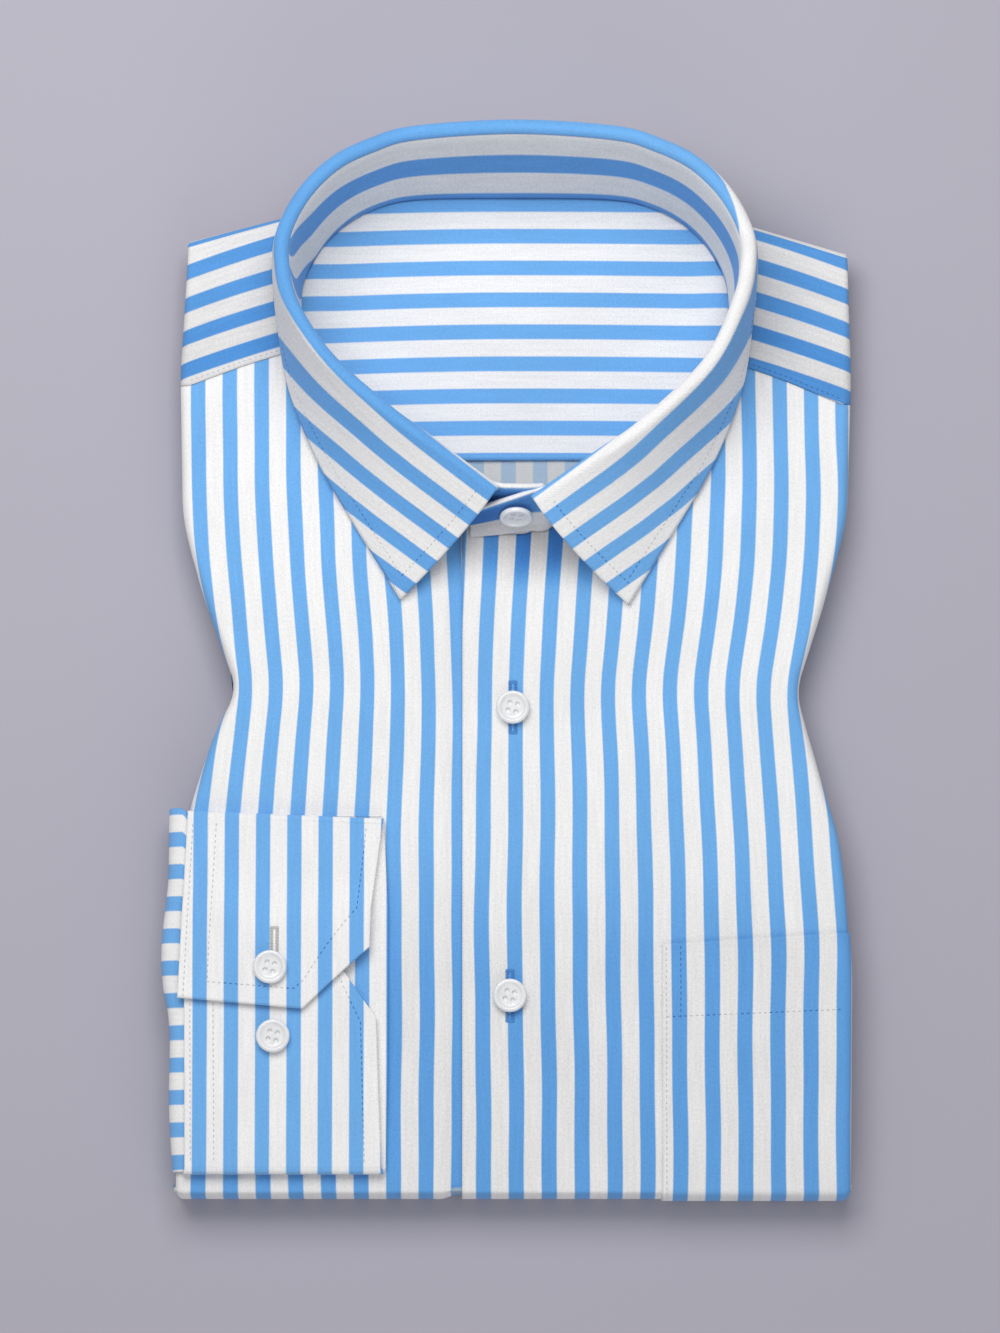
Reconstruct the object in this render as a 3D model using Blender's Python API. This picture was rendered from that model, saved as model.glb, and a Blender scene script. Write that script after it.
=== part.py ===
"""A long-sleeved dress shirt, folded flat for the shelf, with its collar standing and one cuff laid on its front.

The shirt lies on its back. X runs across it towards the wearer's left side, +Y runs from the bottom fold to
the collar, and Z is up. Sizes are in millimetres from the shirt's centre line, and `place` turns them into the
part's metres. The origin is the middle of the part's box, on the surface that it rests on.
"""

import math
from collections import namedtuple

import bmesh
import bpy
from mathutils import Vector

# ---- Driving sizes, in millimetres ----
MILLIMETRE = 0.001
CENTRE_X = 1.97  # the shirt's centre line in the part's frame
CENTRE_Y = 1.15

PANEL_WALL = 1.0  # fronts, back, yoke and sleeve
STAND_WALL = 1.8  # two plies and their interlining
LEAF_WALL = 1.5
CUFF_WALL = 1.6
POCKET_WALL = 1.0
GAP = 0.3  # between pieces at a seam
POCKET_GAP = 0.5
LAP_GAP = 0.7  # between the fronts where they lap

CHEST_HEIGHT = 17.5  # the upper side of the fronts
SHOULDER_DROP = 3.0
SHOULDER_DROP_ALONG = (10.0, 90.0)  # the drop comes in between these, up the shirt
SHOULDER_DROP_ACROSS = (30.0, 75.0)  # and between these, out from the centre line
NECK_RISE = 4.5
NECK_RISE_CENTRE = 40.0  # how far up the shirt the fronts stand highest
NECK_RISE_REACH = 64.0
NECK_RISE_LEVEL = 1.05  # past 1, which keeps the middle of the rise level
TOP_FOLD_FLOOR = 8.0  # the side folds of the upper half reach down to here
YOKE_UNDERSIDE = 8.3
BOTTOM_EDGE = -181.2
BOTTOM_RADIUS = CHEST_HEIGHT / 2
TAIL_HEM = 122.0  # where the folded-under tail ends, at the centre
TAIL_HEM_RISE = 34.0  # the shirt-tail curve, centre to side
TAIL_HEM_HALF = 105.0
TAIL_INSET = 4.0
TAIL_INSET_REACH = 30.0
LOWER_FOLD_RADIUS = 2.5  # the side folds of the lower half and the tail
FOLD_TIGHTENS = (-30.0, -68.0)  # the side folds of the upper half become the lower half's between these
FOLD_NEAR_X = 100.0  # the side folds take their length along the shirt from here
FOLD_RETURN = 7.0  # how far a front goes on under its side fold

FRONT_EDGE = -17.6  # the wearer's left front overlaps the right one to here
FRONT_UNDERLAP = 16.0
LAP_STEP = (-25.0, -19.0)  # the right front steps down under the left one between these
FRONT_ACROSS = {  # where a front's columns stand, from its front edge to its side fold
    -1: (0.0, 0.13, 0.2, 0.265, 0.29, 0.4, 0.52, 0.66, 0.8, 0.9, 1.0),
    1: (0.0, 0.08, 0.2, 0.34, 0.5, 0.66, 0.8, 0.9, 1.0),
}

NECK_POINT = (73.4, 131.0)  # where the shoulder fold meets the neck
NECK_TURN = 4.0  # past the shoulder's inner end, where the fold starts to turn in to that point
BACK_SEAM = 68.5  # the yoke's lower seam, across the back
YOKE_ROWS = (0.0, 0.25, 0.5, 0.75, 1.0)
YOKE_UNDER_ROWS = (0.0, 0.12, 0.3, 0.5, 0.75, 1.0)
YOKE_FLAT_EDGE = 109.5
YOKE_COLUMNS = (NECK_POINT[0], 75.0, 79.0, 82.0, 88.0, 95.0, 102.0, YOKE_FLAT_EDGE)
YOKE_SIDE_FROM = 88.0  # columns past this follow the side folds
YOKE_SIDE_TOP = 136.0
YOKE_SIDE_INSET = 0.6
YOKE_CURL = 1.35  # the side fold's radius on the shoulder
YOKE_CURL_AT_SEAM = 3.2
YOKE_CURL_TIGHTENS = (0.35, 0.95)
YOKE_LIFT = 2.6  # the climb beside the neck
YOKE_LIFT_X = 70.0
YOKE_LIFT_WIDTH = 8.0
YOKE_LIFT_ALONG = (100.0, 125.0)
UNDER_HALF_WIDTHS = (97.0, 111.0)  # of the yoke's under layer, at its seam and at the shoulders
UNDER_WIDENS = (100.0, 138.0)
UNDER_SIDE_EASE = 6.0
UNDER_CURL_EASE = 8.0

ROLL_RADIUS = 2.0

BUTTON_RADIUS = 5.7
BUTTON_THICKNESS = 2.2
BUTTON_HOLE = 0.8
BUTTON_HOLE_SPREAD = 1.35

# ---- Tables ----
Outline = namedtuple("Outline", "y half_width")
SIDE_OUTLINE = (
    Outline(150.0, 110.8),
    Outline(137.0, 112.0),
    Outline(112.0, 113.0),
    Outline(47.0, 112.8),
    Outline(-10.5, 92.4),
    Outline(-64.0, 109.8),
    Outline(-100.0, 111.8),
    Outline(-190.0, 111.3),
)
SIDE_SOFTNESS = 8.0

Shoulder = namedtuple("Shoulder", "seam_at_neck seam_at_side fold_at_neck fold_at_side")
SHOULDERS = {
    -1: Shoulder(103.0, 91.0, 148.6, 138.6),
    1: Shoulder(98.5, 85.0, 146.2, 135.2),
}
SHOULDER_SPAN = (78.0, 112.5)  # where those four are measured, out from the centre line

# One row for each section round half the collar: the neck seam, the centre of the roll and the leaf's edge.
Section = namedtuple("Section", "seam roll edge")
COLLAR = (
    Section((0.0, 158.7, 10.4), (0.0, 172.9, 48.0), (0.0, 179.6, 7.0)),
    Section((33.0, 158.0, 10.4), (34.0, 169.1, 48.0), (35.5, 175.6, 7.0)),
    Section((50.5, 153.6, 10.6), (47.8, 164.3, 48.2), (51.0, 170.0, 8.0)),
    Section((62.5, 144.8, 11.4), (60.9, 156.3, 48.5), (65.5, 160.5, 10.5)),
    Section((69.8, 132.5, 13.6), (72.9, 142.1, 49.0), (77.0, 145.5, 17.2)),
    Section((72.6, 119.0, 15.6), (76.6, 125.4, 49.0), (79.8, 123.5, 17.4)),
    Section((70.6, 105.0, 15.8), (70.4, 110.6, 48.0), (78.4, 102.0, 17.2)),
    Section((60.0, 89.5, 16.5), (59.3, 95.0, 46.5), (71.4, 78.2, 17.2)),
    Section((35.0, 67.5, 19.3), (35.1, 74.2, 44.5), (57.0, 50.2, 18.8)),
    Section((9.0, 44.8, 22.8), (5.4, 54.0, 42.0), (38.5, 18.4, 19.6)),
)
# The buttoned ends of the stand, past the leaf's front edge. The right-hand one is mirrored and goes inside.
Tab = namedtuple("Tab", "seam outer_top inner_top")
TABS = (
    Tab((0.0, 41.6, 23.1), (0.0, 50.2, 40.8), (0.0, 54.6, 42.0)),
    Tab((-6.0, 42.6, 23.0), (-6.0, 50.4, 38.6), (-6.0, 55.4, 39.4)),
    Tab((-12.0, 45.2, 22.9), (-11.0, 51.4, 36.6), (-11.0, 57.2, 38.4)),
)
TAB_OFFSET = 1.15
TAB_LAP_REACH = 0.8  # sections from a stand's end, over which it moves aside for the other end
SEAM_REST = 1.0  # the stand's seam above the fronts
LEAF_REST = 1.15  # the leaf's edge above them
SEAM_DIP = 8.0  # round the back both come down, past the fronts
LEAF_DIP = 12.0
DIP_ALONG = (108.0, 132.0)
STAND_TOP_GAP = 0.6  # from the stand's top to the roll
STAND_ROWS = (0.0, 0.33, 0.67, 1.0)
LEAF_BEND = 0.33
LEAF_STEEPEST = 4.0  # degrees short of straight down
COLLAR_STEPS = 46

Sleeve = namedtuple("Sleeve", "top bottom hidden_x fold_x low_z high_z thickness")
SLEEVE = Sleeve(-51.0, -170.6, -97.0, -109.7, 6.5, 19.0, 2.4)

SLEEVE_TURN = 0.86  # how far round the fold it comes before the cuff, in half turns

Cuff = namedtuple("Cuff", "left right top bottom upper_tip lower_tip under_z middle_z over_z")
CUFF = Cuff(-111.0, -46.0, -52.0, -172.4, -117.8, -92.0, 18.8, 21.4, 23.5)
UPPER_MITRE = (23.0, 21.0)  # the cut corner of the cuff's upper end, across and along
LOWER_MITRE = (20.0, 28.0)
CUFF_CLIMB = (-92.0, -80.0)  # its upper end climbs onto the lower end between these, from the top down
CUFF_UPPER_ROWS = (0.0, 0.2, 0.4, 0.55, 0.7, 0.85, 1.0)
CUFF_TURN_STEPS = 5
CUFF_COLUMNS = (0.0, 0.33, 0.62, 0.72, 0.85, 1.0)
CUFF_SHIFTS = ((0.0, -3.6), (0.25, 0.0), (0.5, 1.6), (0.72, 0.9), (1.0, -1.6))  # (share of its length, across)

Pocket = namedtuple("Pocket", "left top_at_left top_at_side")
POCKET = Pocket(48.9, -95.5, -91.6)
POCKET_SIDE_INSET = 4.0
POCKET_SIDE_Y = -140.0  # its side is measured here
POCKET_BOTTOM_TURN = 0.8  # how far round the bottom fold it goes, in half turns

Button = namedtuple("Button", "name x y z lean")
BUTTONS = (
    Button("button_collar", 0.0, 43.7, 32.9, 65.0),
    Button("button_front_upper", -0.7, -16.4, 19.1, 3.0),
    Button("button_front_lower", -1.7, -112.9, 18.7, 0.0),
    Button("button_cuff_upper", -81.4, -103.8, 25.4, 0.0),
    Button("button_cuff_lower", -80.4, -126.6, 23.3, 0.0),
)

BLUE = (0.17, 0.45, 0.86, 1.0)
WHITE = (0.90, 0.90, 0.90, 1.0)
SHELL_WHITE = (0.86, 0.86, 0.85, 1.0)
SHARP_ANGLE = 50.0
WELD = 0.00002  # metres


# ---- Helpers ----
def smooth(t):
    """A soft step from 0 to 1."""
    t = min(1.0, max(0.0, t))
    return t * t * (3.0 - 2.0 * t)


def mix(a, b, t):
    return a + (b - a) * t


def ramp(value, start, end):
    """A soft step from 0 at start to 1 at end."""
    return smooth((value - start) / (end - start))


def place(x, y, z):
    """A point of the shirt, in millimetres from its centre line, as a point of the part, in metres."""
    return Vector((x + CENTRE_X, y + CENTRE_Y, z)) * MILLIMETRE


def steps(start, end, count):
    """count + 1 values from start to end."""
    return [mix(start, end, i / count) for i in range(count + 1)]


def read_outline(y):
    rows = SIDE_OUTLINE
    for upper, lower in zip(rows, rows[1:]):
        if y >= lower.y:
            break
    t = min(1.0, max(0.0, (upper.y - y) / (upper.y - lower.y)))
    return mix(upper.half_width, lower.half_width, t)


def half_width(y):
    """The folded outline's half width, its corners softened."""
    reach = steps(-SIDE_SOFTNESS, SIDE_SOFTNESS, 6)
    return sum(read_outline(y + d) for d in reach) / len(reach)


def top_height(x, y):
    """The upper side of the fronts: flat on the chest, lower at the shoulders, raised by the collar's front."""
    drop = SHOULDER_DROP * ramp(y, *SHOULDER_DROP_ALONG) * ramp(abs(x), *SHOULDER_DROP_ACROSS)
    away = (x / NECK_RISE_REACH) ** 2 + ((y - NECK_RISE_CENTRE) / NECK_RISE_REACH) ** 2
    return CHEST_HEIGHT - drop + NECK_RISE * smooth(NECK_RISE_LEVEL - away)


def shoulder_line(x, at_neck, at_side):
    near, far = SHOULDER_SPAN
    return mix(at_neck, at_side, (abs(x) - near) / (far - near))


def yoke_seam(x):
    row = SHOULDERS[1 if x > 0 else -1]
    return shoulder_line(x, row.seam_at_neck, row.seam_at_side)


def shoulder_fold(x):
    """The outer line of the shoulder fold. Under the leaf it turns in to the neck point."""
    row = SHOULDERS[1 if x > 0 else -1]
    line = shoulder_line(x, row.fold_at_neck, row.fold_at_side)
    near, far = NECK_POINT[0], SHOULDER_SPAN[0] + NECK_TURN
    t = min(1.0, max(0.0, (abs(x) - near) / (far - near)))
    return mix(NECK_POINT[1], line, math.sin(t * math.pi / 2))


def catmull(points, t):
    """A smooth curve through the points; t counts them from the first."""
    last = len(points) - 1
    i = min(max(int(math.floor(t)), 0), last - 1)
    f = t - i
    a, b = Vector(points[max(i - 1, 0)]), Vector(points[i])
    c, d = Vector(points[i + 1]), Vector(points[min(i + 2, last)])
    return 0.5 * (
        2 * b + (c - a) * f + (2 * a - 5 * b + 4 * c - d) * f**2 + (3 * b - a - 3 * c + d) * f**3
    )


def mirrored(rows, column):
    """One column of the collar table, right round from the wearer's right end to the left end."""
    half = [getattr(row, column) for row in rows]
    other = [(-x, y, z) for x, y, z in half[:0:-1]]
    return other + half


def material(name, colour, roughness):
    made = bpy.data.materials.new(name)
    made.use_nodes = True
    shader = made.node_tree.nodes["Principled BSDF"]
    shader.inputs["Base Color"].default_value = colour
    shader.inputs["Roughness"].default_value = roughness
    shader.inputs["Metallic"].default_value = 0.0
    made.diffuse_color = colour
    return made


def link(name, mesh, finish):
    mesh.materials.append(finish)
    mesh.shade_smooth()
    mesh.set_sharp_from_angle(angle=math.radians(SHARP_ANGLE))
    made = bpy.data.objects.new(name, mesh)
    bpy.context.scene.collection.objects.link(made)
    return made


def sheet(name, patches, wall, finish, offset):
    """One wall of cloth over patches of rows of points. offset is -1 to thicken inwards, 0 to both sides."""
    shape = bmesh.new()
    for rows in patches:
        grid = [[shape.verts.new(p) for p in row] for row in rows]
        for upper, lower in zip(grid, grid[1:]):
            for i in range(len(upper) - 1):
                shape.faces.new((upper[i], lower[i], lower[i + 1], upper[i + 1]))
    bmesh.ops.remove_doubles(shape, verts=shape.verts, dist=WELD)
    mesh = bpy.data.meshes.new(name)
    shape.to_mesh(mesh)
    shape.free()
    made = link(name, mesh, finish)
    cloth = made.modifiers.new("wall", "SOLIDIFY")
    cloth.thickness = wall * MILLIMETRE
    cloth.offset = offset
    cloth.use_rim = True
    return made


# ---- Fronts ----
NECK_ROWS = (0.0, 0.05, 0.11, 0.18, 0.25, 0.32, 0.379, 0.43, 0.5, 0.6, 0.72, 0.86, 1.0)
TAIL_ROWS = 9
BOTTOM_CENTRE = BOTTOM_EDGE + BOTTOM_RADIUS


def neck_line(x):
    """How far up the fronts reach at this x: to the neck seam, and outside it to the yoke seam."""
    seam = [row.seam for row in COLLAR[6:]] + [TABS[0].seam]
    if abs(x) >= seam[0][0]:
        return yoke_seam(x) - 2 * GAP
    ways = steps(0.0, len(seam) - 1.0, 40)
    points = [catmull(seam, t) for t in ways]
    for outer, inner in zip(points, points[1:]):
        if inner.x <= abs(x):
            break
    t = (outer.x - abs(x)) / max(outer.x - inner.x, 1e-6)
    neck = mix(outer.y, inner.y, min(1.0, max(0.0, t)))
    return min(neck, yoke_seam(math.copysign(seam[0][0], x)) - 2 * GAP)


def tail_hem(x):
    return TAIL_HEM - TAIL_HEM_RISE * (abs(x) / TAIL_HEM_HALF) ** 3


def front_rows():
    """(part of the way, value): down the top, round the bottom fold, and back along the underside."""
    rows = [("top", f) for f in NECK_ROWS]
    rows += [("fold", a) for a in steps(0.0, math.pi, 7)[1:]]
    return rows + [("tail", f) for f in steps(0.0, 1.0, TAIL_ROWS)[1:]]


def row_frame(kind, value, x):
    """(y, z, outward y, outward z, half width, side fold radius) of the front's outer side at x."""
    if kind == "top":
        y = mix(neck_line(x), BOTTOM_CENTRE, value)
        edge = half_width(y)
        depth = top_height(edge, y) - TOP_FOLD_FLOOR
        radius = mix(depth / 2, LOWER_FOLD_RADIUS, ramp(y, *FOLD_TIGHTENS))
        return y, top_height(x, y), 0.0, 1.0, edge, radius
    if kind == "fold":
        y = BOTTOM_CENTRE - BOTTOM_RADIUS * math.sin(value)
        z = BOTTOM_RADIUS * (1 + math.cos(value))
        return y, z, -math.sin(value), math.cos(value), half_width(BOTTOM_EDGE), LOWER_FOLD_RADIUS
    y = mix(BOTTOM_CENTRE, tail_hem(x), value)
    inset = TAIL_INSET * smooth((y - BOTTOM_CENTRE) / TAIL_INSET_REACH)
    return y, 0.0, 0.0, -1.0, half_width(y) - inset, LOWER_FOLD_RADIUS


def front_point(kind, value, side, across, strip, raised=0.0, start=FRONT_EDGE):
    """A point of a front. across runs from its front edge to the side fold, strip on round the fold.

    strip is None on the flat, or (turn, return): an angle round the fold, or a length past it.
    """
    y, z, out_y, out_z, edge, radius = row_frame(kind, value, side * FOLD_NEAR_X)
    x = mix(start, side * (edge - radius), across)
    if strip is None:
        y, z, out_y, out_z, edge, radius = row_frame(kind, value, x)
        x = mix(start, side * (edge - radius), across)
        inset = -raised
        if side < 0:
            inset += (PANEL_WALL + LAP_GAP) * ramp(x, *LAP_STEP)
        return place(x, y - out_y * inset, z - out_z * inset)
    y, z, out_y, out_z, edge, radius = row_frame(kind, value, side * (edge - radius))
    turn, back = strip
    reach = radius + raised
    x = side * (edge - radius + reach * math.sin(turn) - back)
    inset = radius - reach * math.cos(turn)
    return place(x, y - out_y * inset, z - out_z * inset)


def make_front(name, side, start, finish):
    flat = [(across, None) for across in FRONT_ACROSS[side]]
    folded = [(1.0, (turn, 0.0)) for turn in steps(0.0, math.pi, 6)[1:]]
    folded.append((1.0, (math.pi, FOLD_RETURN)))
    rows = [
        [front_point(kind, value, side, across, strip, start=start) for across, strip in flat + folded]
        for kind, value in front_rows()
    ]
    if side > 0:
        return sheet(name, [rows], PANEL_WALL, finish, -1.0)
    return sheet(name, [[row[::-1] for row in rows]], PANEL_WALL, finish, -1.0)


def make_pocket(finish):
    """The chest pocket, on the wearer's left front, round its side fold and its bottom fold."""
    raised = POCKET_WALL + POCKET_GAP
    folded = [(1.0, (turn, 0.0)) for turn in steps(0.0, math.pi, 6)[1:]]
    rows = []
    ways = [("top", f) for f in (0.0, 0.3, 0.65, 1.0)]
    ways += [("fold", a) for a in steps(0.0, math.pi * POCKET_BOTTOM_TURN, 6)[1:]]
    side_x = half_width(POCKET_SIDE_Y) - POCKET_SIDE_INSET
    for kind, value in ways:
        row = []
        for across, strip in [(a, None) for a in (0.0, 0.35, 0.7, 1.0)] + folded:
            x = mix(POCKET.left, side_x, across)
            if kind == "top":
                slope = (POCKET.top_at_side - POCKET.top_at_left) * across
                y = mix(POCKET.top_at_left + slope, BOTTOM_CENTRE, value)
                start = neck_line(x if strip is None else FOLD_NEAR_X)
                share = (start - y) / (start - BOTTOM_CENTRE)
            else:
                share = value
            row.append(front_point(kind, share, 1, across, strip, raised=raised, start=POCKET.left))
        rows.append(row)
    return sheet("chest_pocket", [rows], POCKET_WALL, finish, -1.0)


# ---- Yoke and back ----
def yoke_lift(x, y):
    """How far the yoke's under layer climbs beside the neck, to meet the stand."""
    beside = math.exp(-(((abs(x) - YOKE_LIFT_X) / YOKE_LIFT_WIDTH) ** 2))
    return YOKE_LIFT * beside * ramp(y, *YOKE_LIFT_ALONG)


def back_neck(x):
    """The yoke's neck edge across the back."""
    seam = [row.seam for row in COLLAR[:5]] + [(NECK_POINT[0], NECK_POINT[1], 0.0)]
    points = [catmull(seam, t) for t in steps(0.0, len(seam) - 1.0, 50)]
    for inner, outer in zip(points, points[1:]):
        if outer.x >= abs(x):
            break
    t = (abs(x) - inner.x) / max(outer.x - inner.x, 1e-6)
    return mix(inner.y, outer.y, min(1.0, max(0.0, t))) + 2 * GAP


def under_half_width(y):
    """The yoke's under layer draws in below the side folds."""
    return mix(*UNDER_HALF_WIDTHS, ramp(y, *UNDER_WIDENS))


def yoke_shoulder(side, columns):
    """From the front yoke seam over the shoulder fold to the under layer."""
    rows = []
    ways = [("top", f) for f in YOKE_ROWS] + [("fold", a) for a in steps(0.0, math.pi, 5)[1:]]
    for kind, value in ways:
        row = []
        for x, strip in columns:
            seam, crest = yoke_seam(side * x), shoulder_fold(side * x)
            low = YOKE_UNDERSIDE + yoke_lift(x, crest)
            radius = (top_height(x, seam) - low) / 2
            if kind == "top":
                y = mix(seam, crest - radius, value)
                z = mix(top_height(x, seam), low + 2 * radius, smooth(value))
                out_y, out_z = 0.0, 1.0
                curl = mix(YOKE_CURL_AT_SEAM, YOKE_CURL, ramp(value, *YOKE_CURL_TIGHTENS))
                side_inset = YOKE_SIDE_INSET * smooth(value)
            else:
                y = crest - radius + radius * math.sin(value)
                z = low + radius * (1 + math.cos(value))
                out_y, out_z = math.sin(value), math.cos(value)
                curl = YOKE_CURL
                side_inset = YOKE_SIDE_INSET
            px, inset = x, 0.0
            edge = half_width(min(y, YOKE_SIDE_TOP)) - side_inset
            if strip is not None:
                px = edge - curl + curl * math.sin(strip)
                inset = curl * (1 - math.cos(strip))
            elif x > YOKE_SIDE_FROM:
                share = (x - YOKE_SIDE_FROM) / (YOKE_FLAT_EDGE - YOKE_SIDE_FROM)
                px = mix(YOKE_SIDE_FROM, edge - curl, share)
            row.append(place(side * px, y - out_y * inset, z - out_z * inset))
        rows.append(row)
    return rows


def yoke_under(inner_columns, outer_columns):
    """The under layer, which shows through the neck: from the neck and the shoulder folds to the back seam."""
    rows = []
    columns = [(-x, s) for x, s in outer_columns[::-1]] + [(x, None) for x in inner_columns] + outer_columns
    folded_edge = half_width(YOKE_SIDE_TOP) - YOKE_SIDE_INSET - YOKE_CURL
    for value in YOKE_UNDER_ROWS:
        row = []
        for x, strip in columns:
            side = 1 if x > 0 else -1
            size = abs(x)
            if size < NECK_POINT[0] - 0.01:
                start = back_neck(x)
            else:
                crest = shoulder_fold(x)
                start = crest - (top_height(x, yoke_seam(x)) - YOKE_UNDERSIDE - yoke_lift(x, crest)) / 2
            y = mix(start, BACK_SEAM, value)
            z = YOKE_UNDERSIDE + yoke_lift(x, y)
            px = x
            if size > YOKE_SIDE_FROM:
                edge = mix(folded_edge, under_half_width(y), smooth(value * UNDER_SIDE_EASE))
                share = min(1.0, (size - YOKE_SIDE_FROM) / (YOKE_FLAT_EDGE - YOKE_SIDE_FROM))
                px = mix(YOKE_SIDE_FROM, folded_edge, share) + (edge - folded_edge) * share
                if strip is not None:
                    opened = smooth(value * UNDER_CURL_EASE)
                    px = edge + mix(YOKE_CURL * math.sin(strip), YOKE_CURL * strip, opened)
                    z += mix(YOKE_CURL * (1 - math.cos(strip)), 0.0, opened)
                px *= side
            row.append(place(px, y, z))
        rows.append(row)
    return rows


def make_yoke(finish):
    outer = [(x, None) for x in YOKE_COLUMNS]
    outer += [(YOKE_FLAT_EDGE, a) for a in steps(0.0, math.pi, 5)[1:]]
    inner = steps(-NECK_POINT[0], NECK_POINT[0], 18)[1:-1]
    right = yoke_shoulder(1, outer)
    left = [row[::-1] for row in yoke_shoulder(-1, outer)]
    # The shoulder patches run from the seam up and over; the under layer runs on down from there.
    patches = [[row[::-1] for row in rows] for rows in (right, left, yoke_under(inner, outer))]
    return sheet("yoke", patches, PANEL_WALL, finish, -1.0)


Level = namedtuple("Level", "y z half")
BACK_LEVELS = (
    Level(76.0, 7.8, 94.0),
    Level(52.0, 7.8, 94.0),
    Level(30.0, 10.8, 94.0),
    Level(4.0, 14.3, 84.0),
    Level(-10.0, 14.3, 82.0),
    Level(-60.0, 14.3, 95.0),
    Level(-166.0, 14.3, 98.0),
)


def make_back(finish):
    rows = []
    for level in BACK_LEVELS:
        rows.append([place(level.half * u, level.y, level.z) for u in (-1.0, -0.4, 0.4, 1.0)])
    return sheet("back", [rows], PANEL_WALL, finish, -1.0)


# ---- Hidden layers ----
Layer = namedtuple("Layer", "z inset top")
HIDDEN_LAYERS = (
    Layer(3.1, 17.3, 131.0),
    Layer(3.3, 16.7, 132.6),
    Layer(3.7, 16.7, 133.0),
    Layer(3.85, 17.3, 131.2),
    Layer(4.0, 16.7, 134.0),
    Layer(4.7, 16.7, 134.4),
    Layer(5.0, 17.1, 131.6),
    Layer(5.3, 6.4, 132.6),
    Layer(6.0, 6.2, 133.0),
    Layer(6.3, 7.6, 132.0),
    Layer(6.35, 16.0, 48.0),
    Layer(7.6, 16.0, 38.0),
    Layer(12.4, 17.0, 2.0),
)
HIDDEN_BOTTOM = -168.0
HIDDEN_CORNER = 8.0
SLEEVE_NOTCH = 95.5  # the hidden layers stop here, where the sleeve comes out
NOTCH_EDGE = (4.0, 1.0)  # the notch deepens over this, beside the sleeve


def hidden_half_width(y, side, inset):
    """The hidden layers' half width, notched where the sleeve comes out."""
    half = half_width(y) - inset
    if side < 0:
        away = max(y - SLEEVE.top, SLEEVE.bottom - y)
        room = half_width(y) - SLEEVE_NOTCH
        half -= max(0.0, room - inset) * ramp(away, *NOTCH_EDGE)
    return half


def hidden_ring(layer):
    """The outline of one level, as the same number of points each time."""
    corner = HIDDEN_CORNER
    rise = steps(HIDDEN_BOTTOM + corner, layer.top - corner, 16)
    upper = hidden_half_width(layer.top - corner, 1, layer.inset) - corner
    lower = hidden_half_width(HIDDEN_BOTTOM, 1, layer.inset) - corner
    lower_left = hidden_half_width(HIDDEN_BOTTOM, -1, layer.inset) - corner

    def rounded(x, y, start):
        turns = steps(math.pi * start, math.pi * (start + 0.5), 3)
        return [(x + corner * math.cos(a), y + corner * math.sin(a)) for a in turns]

    ring = [(hidden_half_width(y, 1, layer.inset), y) for y in rise]
    ring += rounded(upper, layer.top - corner, 0.0)[1:]
    ring += rounded(-upper, layer.top - corner, 0.5)
    ring += [(-hidden_half_width(y, -1, layer.inset), y) for y in rise[-2::-1]]
    ring += rounded(-lower_left, HIDDEN_BOTTOM + corner, 1.0)[1:]
    ring += rounded(lower, HIDDEN_BOTTOM + corner, 1.5)[:-1]
    return [place(x, y, layer.z) for x, y in ring]


def make_hidden_layers(finish):
    """The folded-in sides, the sleeves and the rest of the tail, as one solid with layered edges."""
    shape = bmesh.new()
    rings = [[shape.verts.new(p) for p in hidden_ring(layer)] for layer in HIDDEN_LAYERS]
    count = len(rings[0])
    for low, high in zip(rings, rings[1:]):
        for i in range(count):
            j = (i + 1) % count
            shape.faces.new((low[i], low[j], high[j], high[i]))
    shape.faces.new(rings[0][::-1])
    shape.faces.new(rings[-1])
    mesh = bpy.data.meshes.new("folded_layers")
    shape.to_mesh(mesh)
    shape.free()
    return link("folded_layers", mesh, finish)


# ---- Collar ----
SEAMS = mirrored(COLLAR, "seam")
ROLLS = mirrored(COLLAR, "roll")
EDGES = mirrored(COLLAR, "edge")
COLLAR_END = len(SEAMS) - 1


def collar_frame(t):
    """(seam, roll centre, edge, outward) at t round the collar. Outward is level, square to the roll."""
    seam, roll, edge = catmull(SEAMS, t), catmull(ROLLS, t), catmull(EDGES, t)
    seam_rest = top_height(seam.x, seam.y) + SEAM_REST - SEAM_DIP * ramp(seam.y, *DIP_ALONG)
    edge_rest = top_height(edge.x, edge.y) + LEAF_REST - LEAF_DIP * ramp(edge.y, *DIP_ALONG)
    seam.z = max(seam.z, seam_rest)
    edge.z = max(edge.z, edge_rest)
    step = 0.05
    ahead = catmull(ROLLS, min(t + step, COLLAR_END)) - catmull(ROLLS, max(t - step, 0.0))
    outward = Vector((-ahead.y, ahead.x, 0.0)).normalized()
    return seam, roll, edge, outward


def start_angle(seam, roll, outward):
    """Where round the roll the stand arrives, from its lean."""
    run = (roll - seam).dot(outward)
    return math.pi - math.atan2(run, roll.z - seam.z)


def stand_top(t):
    seam, roll, _, outward = collar_frame(t)
    angle = start_angle(seam, roll, outward)
    return roll + ROLL_RADIUS * (outward * math.cos(angle) + Vector((0, 0, math.sin(angle))))


def stand_rows():
    """(seam, top) along the stand, its two ends lapped at the front."""
    ring = []
    down = Vector((0.0, 0.0, -STAND_TOP_GAP))
    for t in steps(0.0, COLLAR_END, COLLAR_STEPS):
        seam, _, _, outward = collar_frame(t)
        end = min(t, COLLAR_END - t)
        lap = TAB_OFFSET * smooth(1.0 - end / TAB_LAP_REACH) * (1 if t > COLLAR_END / 2 else -1)
        ring.append((seam + outward * lap, stand_top(t) + down + outward * lap))
    for side in (-1, 1):
        tabs = []
        shift = Vector((0.0, -TAB_OFFSET * side, 0.0))
        mirror = Vector((side, 1.0, 1.0))
        for tab in TABS:
            top = tab.outer_top if side > 0 else tab.inner_top
            tabs.append((Vector(tab.seam) * mirror + shift, Vector(top) * mirror + shift))
        ring = tabs[::-1] + ring if side < 0 else ring + tabs
    return ring


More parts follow.
